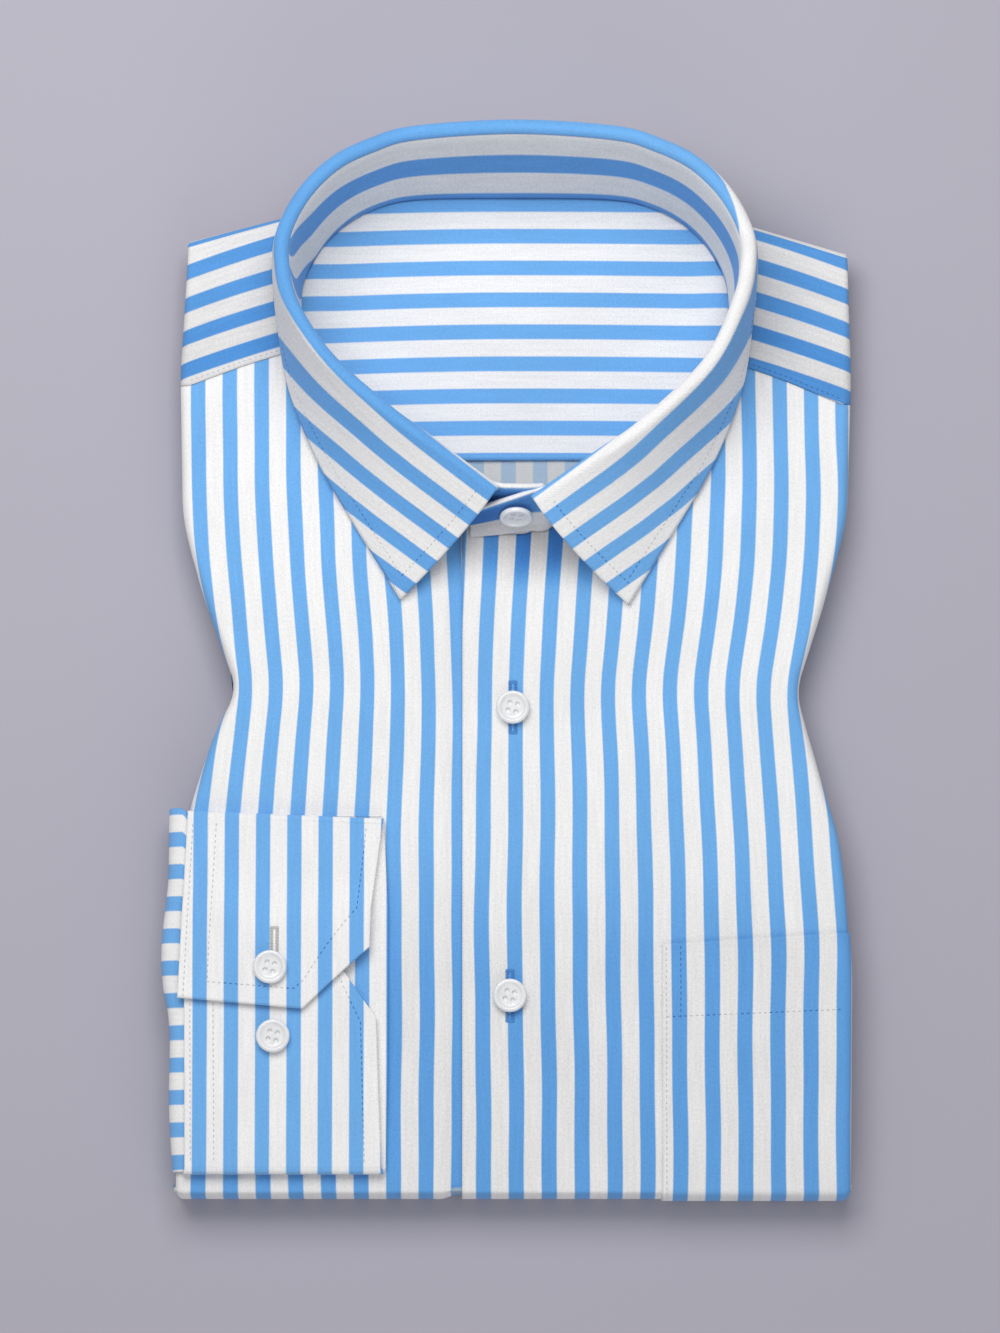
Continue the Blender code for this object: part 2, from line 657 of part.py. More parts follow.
def make_collar_stand(finish):
    ring = stand_rows()
    rows = []
    for share in STAND_ROWS:
        rows.append([place(*seam.lerp(top, share)) for seam, top in ring])
    return sheet("collar_stand", [rows], STAND_WALL, finish, 0.0)


def leaf_profile(t):
    """Points across the leaf: round the roll, then down to its edge."""
    seam, roll, edge, outward = collar_frame(t)
    up = Vector((0, 0, 1))
    drop = roll.z - edge.z
    run = math.hypot(edge.x - roll.x, edge.y - roll.y)
    first = start_angle(seam, roll, outward)
    last = max(math.pi / 2 - math.atan2(drop, run), math.radians(LEAF_STEEPEST))
    points = [roll + ROLL_RADIUS * (outward * math.cos(a) + up * math.sin(a)) for a in steps(first, last, 5)]
    tangent = (outward * math.sin(last) - up * math.cos(last)) * (LEAF_BEND * (edge - roll).length)
    bend = points[-1] + tangent
    for f in steps(0.0, 1.0, 5)[1:]:
        points.append(points[5] * (1 - f) ** 2 + bend * 2 * f * (1 - f) + edge * f**2)
    return points


def make_collar_leaf(finish):
    columns = [leaf_profile(t) for t in steps(0.0, COLLAR_END, COLLAR_STEPS)]
    rows = [[place(*column[i]) for column in columns] for i in range(len(columns[0]))]
    return sheet("collar_leaf", [rows], LEAF_WALL, finish, 0.0)


# ---- Sleeve and cuff ----
def sleeve_path():
    """(x, z, outward x, outward z) of the sleeve's middle, from inside the package round to the cuff."""
    radius = (SLEEVE.high_z - SLEEVE.low_z) / 2
    centre = (SLEEVE.low_z + SLEEVE.high_z) / 2
    path = [(x, SLEEVE.low_z, 0.0, -1.0) for x in steps(SLEEVE.hidden_x, SLEEVE.fold_x, 2)]
    for a in steps(0.0, math.pi * SLEEVE_TURN, 10)[1:]:
        out_x, out_z = -math.sin(a), -math.cos(a)
        path.append((SLEEVE.fold_x + radius * out_x, centre + radius * out_z, out_x, out_z))
    return path


def make_sleeve(finish):
    """A flattened tube of cloth that comes round the side of the package."""
    middle = (SLEEVE.top + SLEEVE.bottom) / 2
    half = (SLEEVE.top - SLEEVE.bottom) / 2
    rise = SLEEVE.thickness / 2
    ring = [(half - rise, rise), (half, 0.0), (half - rise, -rise), (0.0, -rise)]
    ring += [(-half + rise, -rise), (-half, 0.0), (-half + rise, rise), (0.0, rise)]
    rows = []
    for x, z, out_x, out_z in sleeve_path():
        row = [place(x + out_x * lift, middle + along, z + out_z * lift) for along, lift in ring]
        rows.append(row + row[:1])
    return sheet("sleeve_right", [rows], PANEL_WALL, finish, -1.0)


def cuff_climb(y):
    return mix(CUFF.over_z, CUFF.middle_z, ramp(y, *CUFF_CLIMB))


def cuff_path(upper_cut, lower_cut):
    """(y, z) of the cuff's middle line: its upper end, round the wrist and back to its lower end."""
    radius = (CUFF.middle_z - CUFF.under_z) / 2
    centre = (CUFF.middle_z + CUFF.under_z) / 2
    count = CUFF_TURN_STEPS
    path = []
    for f in CUFF_UPPER_ROWS:
        y = mix(CUFF.upper_tip + upper_cut, CUFF.top - radius, f)
        path.append((y, cuff_climb(y)))
    for a in steps(0.0, math.pi, count)[1:]:
        path.append((CUFF.top - radius + radius * math.sin(a), centre + radius * math.cos(a)))
    path += [(y, CUFF.under_z) for y in steps(CUFF.top - radius, CUFF.bottom + radius, count)[1:]]
    for a in steps(math.pi, math.pi * 2, count)[1:]:
        path.append((CUFF.bottom + radius + radius * math.sin(a), centre + radius * math.cos(a)))
    for y in steps(CUFF.bottom + radius, CUFF.lower_tip - lower_cut, count)[1:]:
        path.append((y, CUFF.middle_z))
    return path


def cuff_shift(share):
    """The cuff lies a little askew: how far each stretch of it is set across."""
    for low, high in zip(CUFF_SHIFTS, CUFF_SHIFTS[1:]):
        if share <= high[0]:
            break
    return mix(low[1], high[1], (share - low[0]) / (high[0] - low[0]))


def mitre_cut(mitre, x):
    """How far the cut corner has come in along the cuff at x."""
    return mitre[1] * max(0.0, (x - CUFF.right + mitre[0]) / mitre[0])


def make_cuff(finish):
    rows = []
    for across in CUFF_COLUMNS:
        x = mix(CUFF.left, CUFF.right, across)
        path = cuff_path(mitre_cut(UPPER_MITRE, x), mitre_cut(LOWER_MITRE, x))
        last = len(path) - 1
        rows.append([place(x + cuff_shift(i / last), y, z) for i, (y, z) in enumerate(path)])
    return sheet("cuff_right", [rows], CUFF_WALL, finish, 0.0)


# ---- Buttons ----
BUTTON_PROFILE = (  # (share of the radius, height share) from the rim's underside to the dished middle
    (0.0, 0.0),
    (0.80, 0.0),
    (1.0, 0.35),
    (0.97, 0.85),
    (0.84, 1.0),
    (0.66, 0.66),
    (0.0, 0.62),
)
BUTTON_SIDES = 16


def button_mesh(finish):
    """A four-hole shirt button: a turned disc with a rim and a dished middle, pierced by four holes."""
    shape = bmesh.new()
    rings = []
    for share, height in BUTTON_PROFILE:
        z = BUTTON_THICKNESS * height * MILLIMETRE
        radius = BUTTON_RADIUS * share * MILLIMETRE
        if share == 0.0:
            rings.append([shape.verts.new((0.0, 0.0, z))])
            continue
        turn = [math.tau * i / BUTTON_SIDES for i in range(BUTTON_SIDES)]
        rings.append([shape.verts.new((radius * math.cos(a), radius * math.sin(a), z)) for a in turn])
    for low, high in zip(rings, rings[1:]):
        for i in range(BUTTON_SIDES):
            j = (i + 1) % BUTTON_SIDES
            corners = [low[i % len(low)], low[j % len(low)], high[j % len(high)], high[i % len(high)]]
            shape.faces.new(list(dict.fromkeys(corners)))
    bmesh.ops.recalc_face_normals(shape, faces=shape.faces)
    mesh = bpy.data.meshes.new("button")
    shape.to_mesh(mesh)
    shape.free()
    mesh.materials.append(finish)
    return mesh


def hole_cutter():
    """Four thread holes in one helper, which isn't part of the shirt."""
    shape = bmesh.new()
    for i in range(4):
        angle = math.tau * (i + 0.5) / 4
        reach = BUTTON_HOLE_SPREAD * math.sqrt(2) * MILLIMETRE
        made = bmesh.ops.create_cone(
            shape,
            cap_ends=True,
            segments=6,
            radius1=BUTTON_HOLE * MILLIMETRE,
            radius2=BUTTON_HOLE * MILLIMETRE,
            depth=4 * BUTTON_THICKNESS * MILLIMETRE,
        )
        shift = Vector((math.cos(angle) * reach, math.sin(angle) * reach, 0.0))
        bmesh.ops.translate(shape, verts=made["verts"], vec=shift)
    mesh = bpy.data.meshes.new("thread_holes")
    shape.to_mesh(mesh)
    shape.free()
    helper = bpy.data.objects.new("thread_holes", mesh)
    helper.hide_render = True
    helper.display_type = "WIRE"
    bpy.context.scene.collection.objects.link(helper)
    return helper


def make_buttons(finish):
    mesh = button_mesh(finish)
    for row in BUTTONS:
        button = bpy.data.objects.new(row.name, mesh)
        button.location = place(row.x, row.y, row.z)
        button.rotation_euler = (math.radians(row.lean), 0.0, 0.0)
        bpy.context.scene.collection.objects.link(button)
        holes = hole_cutter()
        holes.parent = button
        cut = button.modifiers.new("thread holes", "BOOLEAN")
        cut.operation = "DIFFERENCE"
        cut.object = holes


def main():
    for old in list(bpy.data.objects):
        bpy.data.objects.remove(old)
    striped = material("striped_cotton", BLUE, 0.85)
    pale = material("shirting_hidden", WHITE, 0.85)
    shell = material("button_shell", SHELL_WHITE, 0.25)
    make_front("front_left", 1, FRONT_EDGE, striped)
    make_front("front_right", -1, FRONT_UNDERLAP, striped)
    make_pocket(striped)
    make_yoke(striped)
    make_back(striped)
    make_hidden_layers(pale)
    make_collar_stand(striped)
    make_collar_leaf(striped)
    make_sleeve(striped)
    make_cuff(striped)
    make_buttons(shell)


main()
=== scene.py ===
import math
from functools import partial

import bmesh
import bpy
import numpy as np
from mathutils import Matrix, Vector


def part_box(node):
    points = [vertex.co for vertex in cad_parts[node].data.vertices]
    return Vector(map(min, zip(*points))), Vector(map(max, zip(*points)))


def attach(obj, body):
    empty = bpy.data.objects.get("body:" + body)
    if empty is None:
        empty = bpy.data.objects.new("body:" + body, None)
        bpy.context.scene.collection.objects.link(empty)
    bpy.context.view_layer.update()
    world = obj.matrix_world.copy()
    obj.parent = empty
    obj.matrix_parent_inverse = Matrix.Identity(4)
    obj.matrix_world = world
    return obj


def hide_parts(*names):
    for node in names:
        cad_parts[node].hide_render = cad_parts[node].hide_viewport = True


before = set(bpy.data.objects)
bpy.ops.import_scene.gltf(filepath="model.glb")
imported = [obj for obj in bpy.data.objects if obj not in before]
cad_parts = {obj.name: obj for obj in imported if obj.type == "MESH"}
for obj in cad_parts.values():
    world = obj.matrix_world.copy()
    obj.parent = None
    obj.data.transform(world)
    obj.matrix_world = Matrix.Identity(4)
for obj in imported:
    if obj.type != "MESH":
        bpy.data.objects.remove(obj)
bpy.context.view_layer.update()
mm = 0.001

# the fronts' solids fix the shirt's centre line, in the part's frame
shirt = {
    "frontEdge": -17.6,  # the wearer's left front laps to here, from the centre line
    "bottomEdge": -180.1,
    "solidEdge": -181.2,  # where the plain solid of the fronts ends, which places this centre line
    "wall": 1.0,
    "pitch": 10.75,  # one blue and one white stripe
    "blueShare": 0.463,
}
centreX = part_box("front_left")[0][0] / mm - shirt["frontEdge"]
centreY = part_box("front_left")[0][1] / mm - shirt["solidEdge"]
pieces = {}


def smooth(t):
    t = np.clip(t, 0.0, 1.0)
    return t * t * (3.0 - 2.0 * t)


def mix(a, b, t):
    return a + (b - a) * t


def bump(t):  # one soft hump, 1 in the middle and 0 from -1 and 1 outwards
    return smooth(1.0 - np.abs(t))


def readTable(rows, at, softness=0.0):
    keys = np.array([row[0] for row in rows])
    values = np.array([row[1] for row in rows])
    order = np.argsort(keys)
    if not softness:
        return np.interp(at, keys[order], values[order])
    reach = np.linspace(-softness, softness, 5)
    return sum(np.interp(at + d, keys[order], values[order]) for d in reach) / len(reach)


def alongCurve(points, t):
    points = np.asarray(points, float)
    last = len(points) - 1
    i = np.clip(np.floor(t).astype(int), 0, last - 1)
    f = (t - i)[..., None]
    a, b = points[np.maximum(i - 1, 0)], points[i]
    c, d = points[i + 1], points[np.minimum(i + 2, last)]
    curve = (2 * a - 5 * b + 4 * c - d) * f**2 + (3 * b - a - 3 * c + d) * f**3
    return 0.5 * (2 * b + (c - a) * f + curve)


def unit(v):
    return v / np.maximum(np.linalg.norm(v, axis=-1, keepdims=True), 1e-9)


def toPart(points):
    return (points + np.array([centreX, centreY, 0.0])) * mm


def join(x, y, z):
    return np.stack(np.broadcast_arrays(x, y, z), axis=-1)


def addObject(name, data):
    made = bpy.data.objects.new(name, data)
    bpy.context.scene.collection.objects.link(made)
    return made


def addPiece(name, mesh, finishes):
    for finish in finishes:
        mesh.materials.append(finish)
    mesh.shade_smooth()
    pieces[name] = addObject(name, mesh)
    return pieces[name]


# a grid, and the place of each of its vertices across and along it, from -0.5 to 0.5
def gridMesh(name, across, along, size=0.5):
    bm = bmesh.new()
    bmesh.ops.create_grid(bm, x_segments=across, y_segments=along, size=size)
    mesh = bpy.data.meshes.new(name)
    bm.to_mesh(mesh)
    bm.free()
    place = np.empty(len(mesh.vertices) * 3)
    mesh.vertices.foreach_get("co", place)
    return mesh, place[0::3], place[1::3]


def weld(mesh, distance, faceOut=False):
    bm = bmesh.new()
    bm.from_mesh(mesh)
    bmesh.ops.remove_doubles(bm, verts=bm.verts, dist=distance * mm)
    if faceOut:
        bmesh.ops.recalc_face_normals(bm, faces=bm.faces)
    bm.to_mesh(mesh)
    bm.free()


# the cloth map in metres, and its painted shade: the share of its colour the cloth keeps, lower where shade is
# painted on it
def markCloth(mesh, cloth, shade):
    mesh.uv_layers.new(name="cloth").data.foreach_set("uv", (cloth * mm).ravel())
    depth = mesh.attributes.new("shade", "FLOAT", "POINT")
    depth.data.foreach_set("value", shade * np.ones(len(mesh.vertices)))


# a grid of cloth: shape turns (u, v) into points in mm from the centre line, and cloth lengths in mm
def makeCloth(name, cells, shape, wall, finishes, offset=-1.0, closed=False, shade=None):
    mesh, x, y = gridMesh(name, *cells)
    u, v = x + 0.5, 0.5 - y
    points, cloth = shape(u, v)
    mesh.vertices.foreach_set("co", toPart(points).ravel())
    corner = np.empty(len(mesh.loops), dtype=np.int32)
    mesh.loops.foreach_get("vertex_index", corner)
    markCloth(mesh, cloth[corner], shade(u, v) if shade else 1.0)
    if closed:
        weld(mesh, 0.02)
    piece = addPiece(name, mesh, finishes)
    solid = piece.modifiers.new("cloth wall", "SOLIDIFY")
    solid.thickness = wall * mm
    solid.offset = offset
    solid.use_rim = True
    solid.material_offset = len(finishes) - 1
    return piece


def joinInto(piece, *others):
    bm = bmesh.new()
    for each in (piece, *others):
        bm.from_mesh(each.data)
    bm.to_mesh(piece.data)
    bm.free()
    piece.data.shade_smooth()
    for each in others:
        pieces.pop(each.name)
        bpy.data.objects.remove(each)


print("fabric groups")


def groupOf(name, inputs, outputs):
    tree = bpy.data.node_groups.new(name, "ShaderNodeTree")
    for label, kind, value in inputs:
        socket = tree.interface.new_socket(name=label, in_out="INPUT", socket_type="NodeSocket" + kind)
        if value is not None:
            socket.default_value = value
    for label, kind in outputs:
        tree.interface.new_socket(name=label, in_out="OUTPUT", socket_type="NodeSocket" + kind)
    start, end = tree.nodes.new("NodeGroupInput"), tree.nodes.new("NodeGroupOutput")
    return tree, start, end


def feed(tree, value, socket):
    if isinstance(value, bpy.types.NodeSocket):
        tree.links.new(value, socket)
    else:
        socket.default_value = value


def mathNode(tree, operation, *values, clamp=False):
    node = tree.nodes.new("ShaderNodeMath")
    node.operation = operation
    node.use_clamp = clamp
    for socket, value in zip(node.inputs, values):
        feed(tree, value, socket)
    return node.outputs[0]


def mixNode(tree, factor, first, second):
    node = tree.nodes.new("ShaderNodeMix")
    node.data_type = "RGBA"
    for socket, value in zip((node.inputs[0], node.inputs[6], node.inputs[7]), (factor, first, second)):
        feed(tree, value, socket)
    return node.outputs[2]


def scaleNode(tree, colour, factor):
    node = tree.nodes.new("ShaderNodeVectorMath")
    node.operation = "SCALE"
    feed(tree, colour, node.inputs[0])
    feed(tree, factor, node.inputs["Scale"])
    return node.outputs[0]


# noise on the cloth or the shell, stretched by so much along each axis
def noiseNode(tree, place, stretch, detail=2.0, roughness=0.5, turn=0.0):
    mapped = tree.nodes.new("ShaderNodeMapping")
    mapped.inputs["Scale"].default_value = stretch
    mapped.inputs["Rotation"].default_value = (0.0, 0.0, turn)
    tree.links.new(place, mapped.inputs["Vector"])
    node = tree.nodes.new("ShaderNodeTexNoise")
    node.inputs["Scale"].default_value = 1.0
    node.inputs["Detail"].default_value = detail
    node.inputs["Roughness"].default_value = roughness
    tree.links.new(mapped.outputs["Vector"], node.inputs["Vector"])
    return node.outputs["Fac"]


# stripes woven across the cloth map: lengths in metres, x across the stripes
def stripeGroup():
    inputs = [
        ("Cloth", "Vector", None),
        ("Pitch", "Float", 0.01075),
        ("Blue Share", "Float", 0.463),
        ("Edge Blend", "Float", 0.02),
        ("Blue", "Color", (0.17, 0.45, 0.86, 1.0)),
        ("White", "Color", (0.9, 0.9, 0.9, 1.0)),
    ]
    tree, start, end = groupOf("woven stripes", inputs, [("Color", "Color")])
    given, calc = start.outputs, partial(mathNode, tree)
    split = tree.nodes.new("ShaderNodeSeparateXYZ")
    tree.links.new(given["Cloth"], split.inputs[0])
    ragged = calc("MULTIPLY_ADD", noiseNode(tree, given["Cloth"], (500.0, 9000.0, 1.0), 1.0), 0.00022, -0.00011)
    phase = calc("FRACT", calc("DIVIDE", calc("ADD", split.outputs[0], ragged), given["Pitch"]))
    half = calc("MULTIPLY", given["Blue Share"], 0.5)
    away = calc("ABSOLUTE", calc("SUBTRACT", phase, half))
    # the far end of the white stripe is measured round to the next blue one
    nearest = calc("MINIMUM", away, calc("SUBTRACT", 1.0, away))
    inside = calc("DIVIDE", calc("SUBTRACT", half, nearest), given["Edge Blend"])
    blue = calc("MULTIPLY_ADD", inside, 0.5, 0.5, clamp=True)
    tree.links.new(mixNode(tree, blue, given["White"], given["Blue"]), end.inputs["Color"])
    return tree


# fine twill: diagonal ribs of thread, slubs and mottling, as a colour factor and a height
def twillGroup():
    inputs = [
        ("Cloth", "Vector", None),
        ("Color", "Color", (0.8, 0.8, 0.8, 1.0)),
        ("Rib Pitch", "Float", 0.0008),
        ("Rib Depth", "Float", 0.5),
        ("Mottle", "Float", 0.06),
        ("Roughness", "Float", 0.82),
    ]
    outputs = [("Color", "Color"), ("Height", "Float"), ("Roughness", "Float")]
    tree, start, end = groupOf("cotton twill", inputs, outputs)
    given, calc = start.outputs, partial(mathNode, tree)
    split = tree.nodes.new("ShaderNodeSeparateXYZ")
    tree.links.new(given["Cloth"], split.inputs[0])
    across, along = split.outputs[0], split.outputs[1]
    slope = calc("DIVIDE", calc("ADD", across, calc("MULTIPLY", along, 0.8)), given["Rib Pitch"])
    ribs = calc("SINE", calc("MULTIPLY", slope, math.tau))
    cross = calc("MULTIPLY", calc("DIVIDE", along, given["Rib Pitch"]), 1.7 * math.tau)
    threads = calc("MULTIPLY", calc("SINE", cross), 0.4)
    weave = calc("MULTIPLY_ADD", calc("ADD", ribs, threads), 0.35, 0.5)
    speckle = noiseNode(tree, given["Cloth"], (1500.0, 1100.0, 1.0), 3.0, 0.7)
    slubs = noiseNode(tree, given["Cloth"], (900.0, 60.0, 1.0))
    clouds = noiseNode(tree, given["Cloth"], (45.0, 30.0, 1.0), 3.0)
    tone = calc("ADD", calc("MULTIPLY", speckle, 0.55), calc("MULTIPLY", slubs, 0.25))
    tone = calc("SUBTRACT", calc("ADD", tone, calc("MULTIPLY", clouds, 0.2)), 0.5)
    change = calc("MULTIPLY_ADD", tone, calc("MULTIPLY", given["Mottle"], 6.0), 1.0)
    tree.links.new(scaleNode(tree, given["Color"], change), end.inputs["Color"])
    height = calc("ADD", calc("MULTIPLY", weave, given["Rib Depth"]), calc("MULTIPLY", speckle, 0.6))
    tree.links.new(height, end.inputs["Height"])
    rough = calc("MULTIPLY_ADD", calc("SUBTRACT", slubs, 0.5), 0.2, given["Roughness"], clamp=True)
    tree.links.new(rough, end.inputs["Roughness"])
    return tree


stripes, twill = stripeGroup(), twillGroup()

fabric = {
    "blue": (0.163, 0.436, 0.835, 1.0),
    "white": (0.905, 0.892, 0.886, 1.0),
    "wrongBlue": (0.40, 0.52, 0.64, 1.0),
    "wrongWhite": (0.66, 0.65, 0.63, 1.0),
    # thread colours: the cloth's own blue and white, darkened as painted shade of the dimples the stitches sink
    # into
    "shadedHoleBlue": (0.09, 0.29, 0.66, 1.0),
    "shadedThreadBlue": (0.045, 0.18, 0.47, 1.0),
    "shadedThreadWhite": (0.58, 0.57, 0.56, 1.0),
    "shadeDeepening": 2.0,  # how much stronger the blue gets where shade is painted on the cloth
    "edgeBlend": 0.02,
    "roughness": 0.85,
    "ribPitch": 0.0009,
    "bumpDepth": 0.00012,
}


def newMaterial(name, settings):
    made = bpy.data.materials.new(name)
    made.use_nodes = True
    shader = made.node_tree.nodes["Principled BSDF"]
    for label, value in settings.items():
        shader.inputs[label].default_value = value
    return made, made.node_tree, shader


def groupNode(tree, group, settings):
    node = tree.nodes.new("ShaderNodeGroup")
    node.node_tree = group
    for label, value in settings.items():
        feed(tree, value, node.inputs[label])
    return node.outputs


def clothMaterial(name, blue, white, mottle):
    cotton = {"Sheen Weight": 0.12, "Sheen Roughness": 0.6, "Specular IOR Level": 0.25}
    made, tree, shader = newMaterial(name, cotton)
    cloth = tree.nodes.new("ShaderNodeUVMap")
    cloth.uv_map = "cloth"
    woven = groupNode(tree, stripes, {
        "Cloth": cloth.outputs[0], "Pitch": shirt["pitch"] * mm, "Blue Share": shirt["blueShare"],
        "Edge Blend": fabric["edgeBlend"], "Blue": blue, "White": white,
    })
    threads = groupNode(tree, twill, {
        "Cloth": cloth.outputs[0], "Color": woven["Color"], "Rib Pitch": fabric["ribPitch"],
        "Mottle": mottle, "Roughness": fabric["roughness"],
    })
    # painted shade: the shade attribute multiplies the colour, and a gamma deepens the blue more than the white
    # where it is below 1
    paintedShade = tree.nodes.new("ShaderNodeAttribute")
    paintedShade.attribute_name = "shade"
    shadeGamma = tree.nodes.new("ShaderNodeGamma")
    tree.links.new(threads["Color"], shadeGamma.inputs["Color"])
    depth = mathNode(tree, "MULTIPLY_ADD", paintedShade.outputs["Fac"], -fabric["shadeDeepening"], 1.0 + fabric["shadeDeepening"])
    tree.links.new(depth, shadeGamma.inputs["Gamma"])
    shadedColour = scaleNode(tree, shadeGamma.outputs["Color"], paintedShade.outputs["Fac"])
    tree.links.new(shadedColour, shader.inputs["Base Color"])
    tree.links.new(threads["Roughness"], shader.inputs["Roughness"])
    raised = tree.nodes.new("ShaderNodeBump")
    raised.inputs["Strength"].default_value = 1.0
    raised.inputs["Distance"].default_value = fabric["bumpDepth"]
    tree.links.new(threads["Height"], raised.inputs["Height"])
    tree.links.new(raised.outputs["Normal"], shader.inputs["Normal"])
    return made


striped = clothMaterial("striped cotton", fabric["blue"], fabric["white"], 0.115)
wrongSide = clothMaterial("wrong side of the cotton", fabric["wrongBlue"], fabric["wrongWhite"], 0.05)
threadFinish = clothMaterial("sewing thread", fabric["shadedThreadBlue"], fabric["shadedThreadWhite"], 0.03)
holeThread = clothMaterial("buttonhole thread", fabric["shadedHoleBlue"], fabric["shadedThreadWhite"], 0.03)

print("fronts")
outline = {  # half the shirt's width up each side
    1: ((150, 112.2), (136, 112.9), (97, 113.6), (50, 111.9), (40, 109.9), (20, 104.2),
        (-10.4, 94.4), (-20.4, 96.9), (-60.6, 108.4), (-80.7, 110.6), (-105, 111.9), (-181, 110.9)),
    -1: ((150, 110.2), (138, 110.9), (97, 112.9), (50, 111.9), (40, 109.9), (20, 104.2),
         (-10.4, 93.1), (-20.4, 98.8), (-30.5, 102.8), (-50.6, 109.0), (-80, 112.0), (-181, 112.9)),
}
fronts = {
    "chestHeight": 17.5,
    "shoulderDrop": 3.0,
    "neckRise": 4.5,
    "upperFoldFloor": 8.0,
    "sideReach": 3.0,  # how far the side fold bulges, across
    "lowerFoldRadius": 2.5,
    "bottomReach": 2.3,
    "underlap": 16.0,
    "tailHem": 122.0,
    "tailRise": 34.0,
    "tailInset": 4.0,
    "lap": 1.5,  # the right front lies this far under the left one
    "sideReturn": 7.0,
    "seamBow": 0.6,
    "seamGap": 0.2,
}
# soft troughs (-) and ridges (+) in the fronts: from, to, half width, height, all in mm
creases = (
    ((-22, -50), (-36, -150), 9, -0.55),
    ((-30, -60), (-44, -120), 6, 0.45),
    ((60, 10), (96, -12), 14, -0.7),
    ((40, -20), (92, -8), 12, 0.6),
    ((70, -50), (108, -62), 12, -0.5),
    ((-60, 5), (-92, -12), 13, -0.7),
    ((-40, -22), (-90, -8), 12, 0.6),
    ((20, -60), (44, -160), 13, -0.45),
    ((12, 20), (22, -90), 10, 0.4),
    ((-60, 70), (-100, 30), 12, 0.5),
    ((62, 72), (100, 34), 12, 0.5),
    ((-88, 40), (-70, -30), 9, -0.4),
    ((88, 60), (72, -20), 9, -0.4),
)
stripeFlow = {  # the stripes' start and pitch, measured at these heights on each front
    1: {"start": ((-181, -12.7), (-97, -13.7), (-64, -13.1), (-10, -12.7), (13, -11.7), (33, -10.7),
                  (60, -9.3), (87, -7.6)),
        "pitch": ((-181, 10.84), (-97, 11.0), (-64, 10.77), (-34, 10.58), (-10, 10.35), (13, 10.65),
                  (33, 10.75), (60, 10.75), (87, 10.5))},
    -1: {"start": ((-181, -21.1), (-10, -21.1), (13, -21.8), (33, -22.8), (60, -23.1), (87, -24.0)),
         "pitch": ((-181, 10.85), (-97, 10.87), (-64, 11.0), (-34, 10.52), (-10, 10.18), (13, 10.42),
                   (33, 10.59), (60, 10.72), (87, 10.62))},
}
shoulders = {  # seam and fold heights at 78 and 112.5 mm from the centre line
    -1: {"seam": (103.8, 92.3), "fold": (151.0, 142.0)},
    1: {"seam": (99.2, 86.0), "fold": (148.6, 138.3)},
}
shoulderSpan = (78.0, 112.5)
neckPoint = (73.4, 131.0)
neckEdge = ((70.6, 105.0), (60.0, 89.5), (35.0, 67.5), (9.0, 44.8), (0.0, 41.6))  # the fronts' upper edge
backNeckEdge = ((0.0, 158.7), (33.0, 158.0), (50.5, 153.6), (62.5, 144.8), (69.8, 132.5), (73.4, 131.0))
collar = {  # sections from the back round to the front: neck seam, centre of the roll, edge of the leaf
    "seam": ((0, 158.7, 10.4), (32, 158.2, 10.4), (46, 155.4, 10.5), (57.5, 149.2, 11.0), (66, 140.4, 12.4),
             (71.6, 129.5, 14.6), (72.6, 119, 15.6), (70.6, 105, 15.8), (60, 89.5, 16.5),
             (43.5, 74.5, 18.6), (29, 62.2, 20.0), (8, 44.4, 22.8)),
    "roll": ((0, 175, 48), (33.3, 172.9, 48), (47.7, 168.8, 48.2), (60.3, 162.3, 48.5), (70.4, 151.9, 49),
             (76.7, 139.7, 49), (77.6, 129.3, 49), (74.4, 115.2, 48.5)),
    "rollFront": {-1: ((62.8, 97.4, 47.5), (44.2, 80.5, 46), (29.7, 69.8, 44.5), (6.7, 52.9, 42)),
                  1: ((64.2, 94.8, 47.5), (42.5, 74.3, 46), (29.5, 65.3, 44.5), (6.6, 49.6, 42))},
    "edge": ((0, 179.8, 7), (36, 177.4, 7), (51, 172.6, 8), (64.5, 165, 10), (74.6, 153.6, 14),
             (80, 139.5, 17.2), (80.4, 125.0, 17.4), (79.4, 112.5, 17.2)),
    "edgeFront": {-1: ((75.4, 91.0, 17.2), (66.5, 68.4, 17.5), (55.0, 47.6, 18.5), (38.2, 19.7, 19.6)),
                  1: ((76.1, 92.0, 17.2), (66.8, 67.4, 17.5), (55.1, 46.5, 18.5), (37.9, 18.0, 19.6))},
    "rollRadius": 1.85,
    "rollShare": 0.22,  # this much of the leaf's own length goes round the roll
    "leafWall": 1.5,
    "standWall": 1.5,
    "seamRest": 1.0,
    "leafRest": 1.15,
}


def creaseHeight(x, y):
    total = 0.0
    for start, end, reach, height in creases:
        a, b = np.array(start, float), np.array(end, float)
        along = ((x - a[0]) * (b - a)[0] + (y - a[1]) * (b - a)[1]) / ((b - a) @ (b - a))
        clipped = np.clip(along, 0.0, 1.0)
        away = np.hypot(x - a[0] - clipped * (b - a)[0], y - a[1] - clipped * (b - a)[1])
        total = total + height * bump(away / reach) * bump((along - 0.5) / 0.62)
    return total


def topHeight(x, y):
    drop = fronts["shoulderDrop"] * smooth((y - 10.0) / 80.0) * smooth((np.abs(x) - 30.0) / 45.0)
    rise = fronts["neckRise"] * smooth(1.05 - (x / 64.0) ** 2 - ((y - 40.0) / 64.0) ** 2)
    return fronts["chestHeight"] - drop + rise


def halfWidth(side, y):
    return readTable(outline[side], y, 5.0)


def betweenShoulders(side, key, x):
    near, far = shoulderSpan
    first, second = shoulders[side][key]
    return mix(first, second, (np.abs(x) - near) / (far - near))


# how far the yoke's front seam bows up, across the shoulder
def seamBow(x):
    across = (np.abs(x) - neckPoint[0]) / (110.0 - neckPoint[0])
    return fronts["seamBow"] * bump((across - 0.45) / 0.55)


